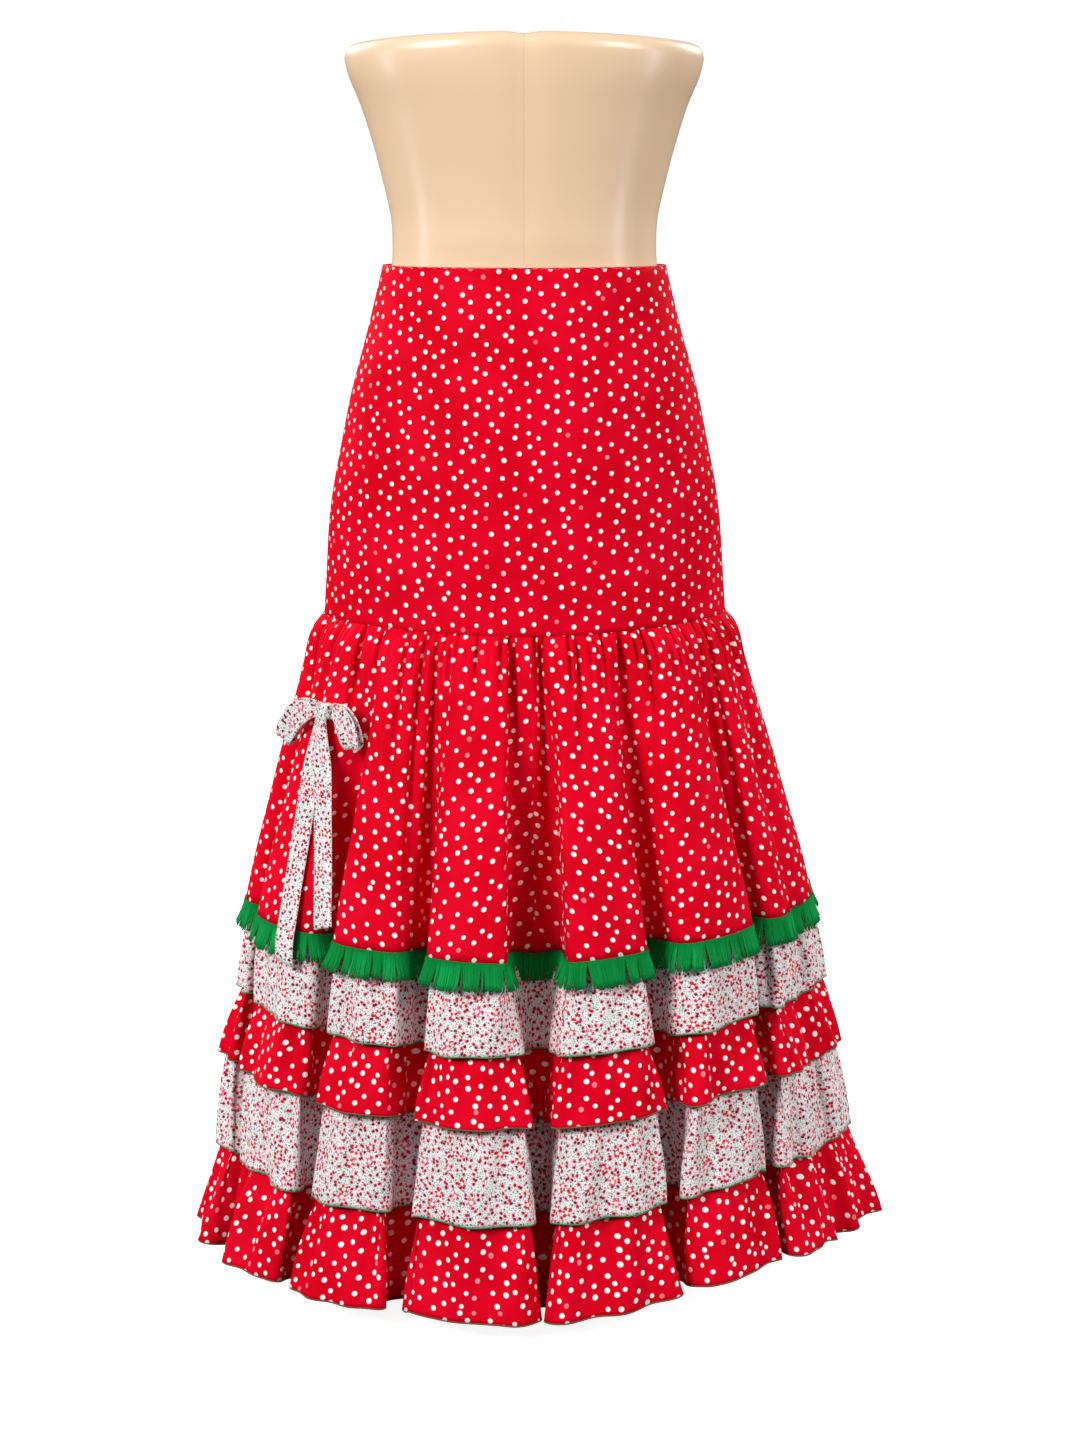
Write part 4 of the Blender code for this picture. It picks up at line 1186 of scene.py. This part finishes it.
def capped(name, points, width, height, finish):
    """A closed body from closed rows of points, with a cap at each end and a flat width and height."""
    rows, columns = points.shape[:2]
    faces = quads(rows, columns, columns).tolist()
    faces += [list(range(columns)), list(range(rows * columns - 1, (rows - 1) * columns - 1, -1))]
    across = np.arange(columns + 1) / columns * width
    flat = corner_places(across[:-1], across[1:], np.arange(rows) / (rows - 1) * height)
    flat = np.concatenate([flat.reshape(-1, 2), np.zeros((2 * columns, 2))])
    return mesh_from(name, points, faces, flat, finish)


def tie_knot():
    """The block of the knot, with its pleats."""
    turn = -2 * np.pi * (np.arange(KNOT_COLUMNS) + 1) / KNOT_COLUMNS
    level = np.sin(np.linspace(np.pi / 2, -np.pi / 2, KNOT_ROWS) * 0.97)[:, None]
    size = (1 - np.abs(level) ** 4) ** 0.45
    pleat = 1 + sum(depth * np.cos(count * turn + shift) for count, shift, depth in PLEATS)
    corner = np.abs(np.cos(turn)) ** KNOT_SQUARE + np.abs(np.sin(turn)) ** KNOT_SQUARE
    reach = size * pleat * corner ** (-1 / KNOT_SQUARE) * KNOT_FIT / 2
    points = (KNOT + (reach * np.cos(turn))[..., None] * BOW_SIDE * KNOT_WIDTH
              - (reach * np.sin(turn))[..., None] * BOW_OUT * KNOT_DEPTH
              + level[..., None] * UP * KNOT_HEIGHT / 2)
    block = capped("bow_knot_ribbon", points, KNOT_WRAP, KNOT_HEIGHT, bow_floral)
    return dressed(block, "bow_knot", slot="bow_ribbon")


def beads_along(name, edges):
    """Woven beads along the edges of the ribbons."""
    middles = []
    for edge in edges:
        reach = reach_along(edge)
        middles.append(points_at(edge, reach, np.arange(BEAD_STEP / 2, reach[-1], BEAD_STEP)))
    middle = np.concatenate(middles)
    points = middle[:, None] + UP * (np.array([0.9, 0.0, -0.9]) * BEAD_RADIUS)[:, None]
    radii = np.tile(BEAD_RADIUS * np.array([0.35, 1.0, 0.35]), (len(middle), 1))
    out, side = (np.tile(way, (len(middle), 1)) for way in (BOW_OUT, BOW_SIDE))
    return many_tubes(name, points, radii, out, side, np.zeros(len(middle)), ribbon_edge, sides=6)


EDGE_WHITE = linear(226, 214, 208)
ribbon_edge = new_finish("ribbon_edge_cotton", 0.8, 0.2, Sheen_Weight=0.1, Base_Color=EDGE_WHITE)[0]
knot = tie_knot()
edges = [points[:, column] for _, points in strips.values() for column in (0, -1)]
beads = dressed(beads_along("bow_edge_beads", edges), slot="bow_ribbon")
print("bow pieces:", len(strips) + 2)

# %% [markdown]
# ## Waist edge and stitches
# The waist edge is turned in and stitched down, so it is a soft roll of the yoke's own cotton. A row of
# small stitches in red thread holds the gathers under the yoke's lower edge, and two more rows run
# beside the centre back seam, where the hidden zip lies.

# %% Waist roll and stitches
WAIST_RADIUS, WAIST_SINK = 0.0010, 0.0006
STITCH_LENGTH, STITCH_STEP = 0.0022, 0.0036
STITCH_RADIUS = 0.00028
SEAM_ROW_LIFT = 0.0028
BACK_ROW_ENDS = 0.004
BACK_ROW_AWAY = 3.4
ROUND_POINTS, BACK_POINTS = 720, 160


def yoke_line(drops, azimuths):
    """A line on the outside of the yoke, through azimuths in degrees."""
    points = [oval(interpolated(YOKE, drop), np.radians([azimuth]))
              for drop, azimuth in zip(drops, azimuths)]
    return hung(points, drops)[:, 0]


def stitch_row(line):
    """The middle lines of the stitches along a line of points."""
    reach = reach_along(line)
    starts = np.arange(0.0, reach[-1] - STITCH_LENGTH, STITCH_STEP)
    return points_at(line, reach, starts[:, None] + np.linspace(0.0, 1.0, 4) * STITCH_LENGTH)


def sew(name, rows, finish):
    """Stitches as small bent tubes that dip into the cloth at both ends."""
    middles = np.concatenate(rows)
    out = unit(middles[:, 0] * (1, 1, 0))
    side = unit(np.cross(unit(middles[:, -1] - middles[:, 0]), out))
    lift = STITCH_RADIUS * np.array([-0.6, 0.9, 0.9, -0.6])
    radii = np.tile(STITCH_RADIUS * np.array([0.6, 1.0, 1.0, 0.6]), (len(middles), 1))
    middles = middles + out[:, None] * lift[:, None]
    return many_tubes(name, middles, radii, out, side, np.zeros(len(middles)), finish)


stitch_thread = new_finish("stitch_red_thread", 0.5, 0.4, Base_Color=linear(188, 4, 30))[0]
all_round = np.linspace(180, 540, ROUND_POINTS + 1)
waist_line = yoke_line(np.full(ROUND_POINTS, WAIST_SINK), all_round[:-1])
waist_line -= level_out(waist_line) * WAIST_SINK
waist_roll = dressed(ring_tube("waist_roll", waist_line, WAIST_RADIUS, yoke_cotton), slot="yoke_cloth")
rows = [stitch_row(yoke_line(np.full(ROUND_POINTS + 1, SEAM_DROP - SEAM_ROW_LIFT), all_round))]
for away in (-BACK_ROW_AWAY, BACK_ROW_AWAY):
    drops = np.linspace(BACK_ROW_ENDS, SEAM_DROP - BACK_ROW_ENDS, BACK_POINTS)
    rows.append(stitch_row(yoke_line(drops, np.full(BACK_POINTS, 180 + away))))
stitches = dressed(sew("yoke_stitches", rows, stitch_thread), slot="yoke_cloth")
print("stitches:", sum(len(row) for row in rows))

# %% [markdown]
# ## The dress form
# The form is a smooth limbless torso in satin plastic, moulded in two halves: a shallow groove runs up
# its front and back, with a fine mould line in it. It is a stack of ovals like the skirt. Inside the
# yoke it keeps a little ease from the cloth, and its shoulder line closes in a soft rim. A clear coat
# on the plastic gives the soft bright bands at its sides.

# %% Sizes of the form
FORM_FOOT = table(
    Oval, (-0.372, 0.1600, 0.1040, 0.1180), (-0.366, 0.1700, 0.1135, 0.1275),
    (-0.352, 0.1745, 0.1180, 0.1320), (-0.322, 0.1775, 0.1215, 0.1355),
)
FORM_TORSO = table(
    Oval, (0.021, 0.1191, 0.0835, 0.0870), (0.039, 0.1199, 0.0845, 0.0875),
    (0.075, 0.1273, 0.0885, 0.0915), (0.110, 0.1365, 0.0945, 0.0965), (0.145, 0.1478, 0.1010, 0.1025),
    (0.168, 0.1574, 0.1060, 0.1066), (0.1815, 0.1606, 0.1078, 0.1082),
)
YOKE_EASE, WAIST_EASE, EASE_DROP = 0.0019, 0.0062, 0.090
CAP_HEIGHT, CAP_POWER, CAP_CORNER, CAP_ROWS = 0.0165, 2.6, 0.06, 22
RIM_RISE, RISE_START = 0.0082, 0.145
RIM_NOTCH, NOTCH_WIDTH = 0.0026, 0.010
GROOVE_DEPTH, GROOVE_WIDTH = 0.0032, 0.014
FORM_COLUMNS, FORM_STEP = 192, 0.0075
FORM_WRAP, FORM_HEIGHT = 0.9, 0.6
LINE_EDGE, LINE_MIDDLE, LINE_SHARE = 0.0011, 0.0002, 0.35
print("shoulder width in mm:", 2000 * FORM_TORSO[-1].half_width)

# %% Form


def form_table():
    """Sizes from the foot to the shoulder line. Inside the yoke they are the yoke's, less some ease."""
    inside = []
    for row in reversed(YOKE[:-1]):
        ease = YOKE_EASE + WAIST_EASE * max(0.0, 1 - row.at / EASE_DROP) ** 2
        inside.append(Oval(-row.at, row.half_width - ease, row.front - ease, row.back - ease))
    return FORM_FOOT + inside + FORM_TORSO


def form_ring(row, height, azimuth):
    """One ring of the form with its groove and raised rim."""
    ring = oval(row, azimuth)
    shoulder = FORM_TORSO[-1]
    wide = (row.half_width / shoulder.half_width) ** 2
    groove = np.exp(-((ring[:, 0] / GROOVE_WIDTH) ** 2)) * smooth_step((height + 0.02) / 0.06)
    ring = ring - oval_outward(row, azimuth) * (GROOVE_DEPTH * groove * wide)[:, None]
    notch = RIM_NOTCH * np.exp(-((ring[:, 0] / NOTCH_WIDTH) ** 2))
    rise = wide * smooth_step((height - RISE_START) / (shoulder.at - RISE_START))
    return np.column_stack([ring, WAIST_Z + height + rise * (RIM_RISE * np.cos(azimuth) ** 2 - notch)])


def form_body(finish):
    """The whole torso, from its foot to the middle of its top."""
    rows = form_table()
    azimuth = -2 * np.pi * np.arange(FORM_COLUMNS) / FORM_COLUMNS
    top = rows[-1]
    heights = np.linspace(rows[0].at, top.at, round((top.at - rows[0].at) / FORM_STEP))
    rings = [form_ring(interpolated(rows, height), height, azimuth) for height in heights]
    for share in 1 - np.linspace(0.0, 0.985, CAP_ROWS)[1:] ** 2.4:
        level = (1 - share ** (1 / CAP_CORNER)) ** (1 / CAP_POWER)
        row = Oval(*[share * size for size in top])
        rings.append(form_ring(row, top.at + CAP_HEIGHT * level, azimuth))
    body = capped("dress_form_shell", np.array(rings), FORM_WRAP, FORM_HEIGHT, finish)
    return dressed(body, "dress_form", slot="form_shell")


def form_plastic():
    """Satin skin-coloured plastic with a slightly cloudy surface."""
    material, tree, shader = new_finish("form_satin_plastic", 0.4, Coat_Weight=0.5, Coat_Roughness=0.24)
    where = object_place(tree)
    line = remapped(tree, sums(tree, "ABSOLUTE", parts(tree, where)["X"]), LINE_EDGE, LINE_MIDDLE)
    skin = mixed(tree, clouds(tree, where, 6.0), linear(235, 201, 164), linear(240, 208, 174))
    skin = mixed(tree, sums(tree, "MULTIPLY", line, LINE_SHARE), skin, linear(216, 178, 142))
    fill(tree, shader.inputs["Base Color"], skin)
    bumped(tree, shader, clouds(tree, where, 220.0), 0.04, 0.001)
    return material


form = form_body(form_plastic())
print("form top in mm:", round(1000 * max(v.co.z for v in form.data.vertices)))

# %% [markdown]
# ## The stand
# A steel pole and a round base carry the form, out of sight under the skirt. Their solids are already
# smooth enough to keep, so they only get a finish: brushed steel, with fine streaks that run round.

# %% Stand
STREAKS = (40.0, 40.0, 900.0)


def brushed_steel():
    """Steel whose streaks are clouds pressed flat."""
    material, tree, shader = new_finish("stand_brushed_steel", roughness=0.30, Metallic=1.0)
    pressed = add_node(tree, "Mapping", {"Vector": object_place(tree), "Scale": STREAKS}).outputs[0]
    steel = mixed(tree, clouds(tree, pressed, 1.0), (0.46, 0.46, 0.47, 1), (0.66, 0.66, 0.67, 1))
    fill(tree, shader.inputs["Base Color"], steel)
    return material


steel = brushed_steel()
for node in ("stand_pole", "stand_base"):
    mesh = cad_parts[node].data
    mesh.materials.clear()
    mesh.materials.append(steel)
print("steel pieces:", 2)

# %% [markdown]
# ## What the cloth was cut from
# Each piece of cloth is given the flat size it was cut to, and its surface is printed as a share of that
# cut.
# The sizes are those of the real pattern: the flounce's gores add up to its hem, and a ruffle's strip is
# as long as its hem and as wide as the way down it.

# %% Flat sizes


def declare(piece, flat, area=None):
    """Prints how a sheet's surface compares with the cut."""
    cut = area or flat[0] * flat[1]
    surface = sum(polygon.area for polygon in piece.data.polygons)
    print(f"{piece.name}: cut {cut:.4f} m2, surface {surface / cut:.2f} of it")


declare(yoke_front, (0.480, 0.325), area=0.1320)
declare(yoke_back_right, (0.255, 0.325), area=0.0720)
declare(yoke_back_left, (0.255, 0.325), area=0.0720)
declare(flounce, (2.700, 0.275),
        area=0.5600)
for name, (piece, points, length, _) in tiers.items():
    declare(piece, (length, float(way_down(points)[-1])))
for name, (piece, points) in strips.items():
    held, holder = ("folded", knot) if "loop" in name else ("hung", flounce)
    declare(piece, (RIBBON_WIDTH, float(way_down(points)[-1])))

# %% [markdown]
# ## Floor and light
# The picture is a plain studio shot on white. A pale floor runs to the horizon, and a white sky fills
# the shadows. Lamps straight ahead would flatten the folds, so two broad ones stand at the front
# corners, the left one stronger, and two light the back. Two narrow upright strips at the sides draw
# the bright bands on the form.

# %% Floor, sky and lamps
FLOOR_REACH, FLOOR_SIDES = 60.0, 96
FLOOR_GLOW = 0.88
SKY_ABOVE, SKY_BELOW = 0.40, 0.03
SKY_TOP, SKY_FOOT = 0.9, -0.4
WHITE = (1.0, 1.0, 1.0, 1.0)
LAMPS = table(
    namedtuple("Lamp", "name place size power aim_height"),
    ("key_lamp", (-2.7, -2.7, 2.5), (1.3, 1.3), 150, 0.6),
    ("fill_lamp", (2.9, -2.5, 2.4), (1.3, 1.3), 88, 0.6),
    ("left_strip", (-3.1, -0.7, 0.75), (0.26, 1.3), 14, 1.0),
    ("right_strip", (3.0, -1.1, 0.75), (0.26, 1.3), 14, 1.0),
    ("back_left_lamp", (-2.5, 2.6, 2.6), (1.4, 1.4), 80, 0.6),
    ("back_right_lamp", (2.6, 2.5, 2.6), (1.4, 1.4), 80, 0.6),
)


def pale_floor():
    """A wide white floor. It takes the shadow, and throws no light of its own back up at the cloth."""
    finish = new_finish("floor_white", 0.9, 0.1, Base_Color=(0.80, 0.80, 0.80, 1.0),
                        Emission_Color=WHITE, Emission_Strength=FLOOR_GLOW)[0]
    turn = 2 * np.pi * np.arange(FLOOR_SIDES) / FLOOR_SIDES
    edge = FLOOR_REACH * np.column_stack([np.cos(turn), np.sin(turn), np.zeros(FLOOR_SIDES)])
    floor = mesh_from("floor", edge, [list(range(FLOOR_SIDES))], edge[:, :2], finish)
    floor.location.z = -0.0002
    floor.visible_diffuse = False
    floor.visible_glossy = False


def white_sky():
    """White where the camera looks. As a light it is softer, and dims towards the ground."""
    sky = bpy.data.worlds.new("sky")
    sky.use_nodes = True
    tree = sky.node_tree
    background = tree.nodes["Background"]
    background.inputs["Color"].default_value = WHITE
    height = parts(tree, add_node(tree, "TexCoord").outputs["Generated"])["Z"]
    light = remapped(tree, height, SKY_FOOT, SKY_TOP, SKY_BELOW, SKY_ABOVE)
    seen = add_node(tree, "LightPath").outputs["Is Camera Ray"]
    fill(tree, background.inputs["Strength"], sums(tree, "MAXIMUM", light, seen))
    bpy.context.scene.world = sky


pale_floor()
white_sky()
for lamp in LAMPS:
    data = bpy.data.lights.new(lamp.name, "AREA")
    data.shape = "RECTANGLE"
    data.size, data.size_y = lamp.size
    data.energy = lamp.power
    way = Vector((0.0, 0.0, lamp.aim_height)) - Vector(lamp.place)
    placed(lamp.name, data, lamp.place).rotation_euler = way.to_track_quat("-Z", "Y").to_euler()
bpy.context.scene.view_settings.view_transform = "Standard"
print("lamps:", len(LAMPS))
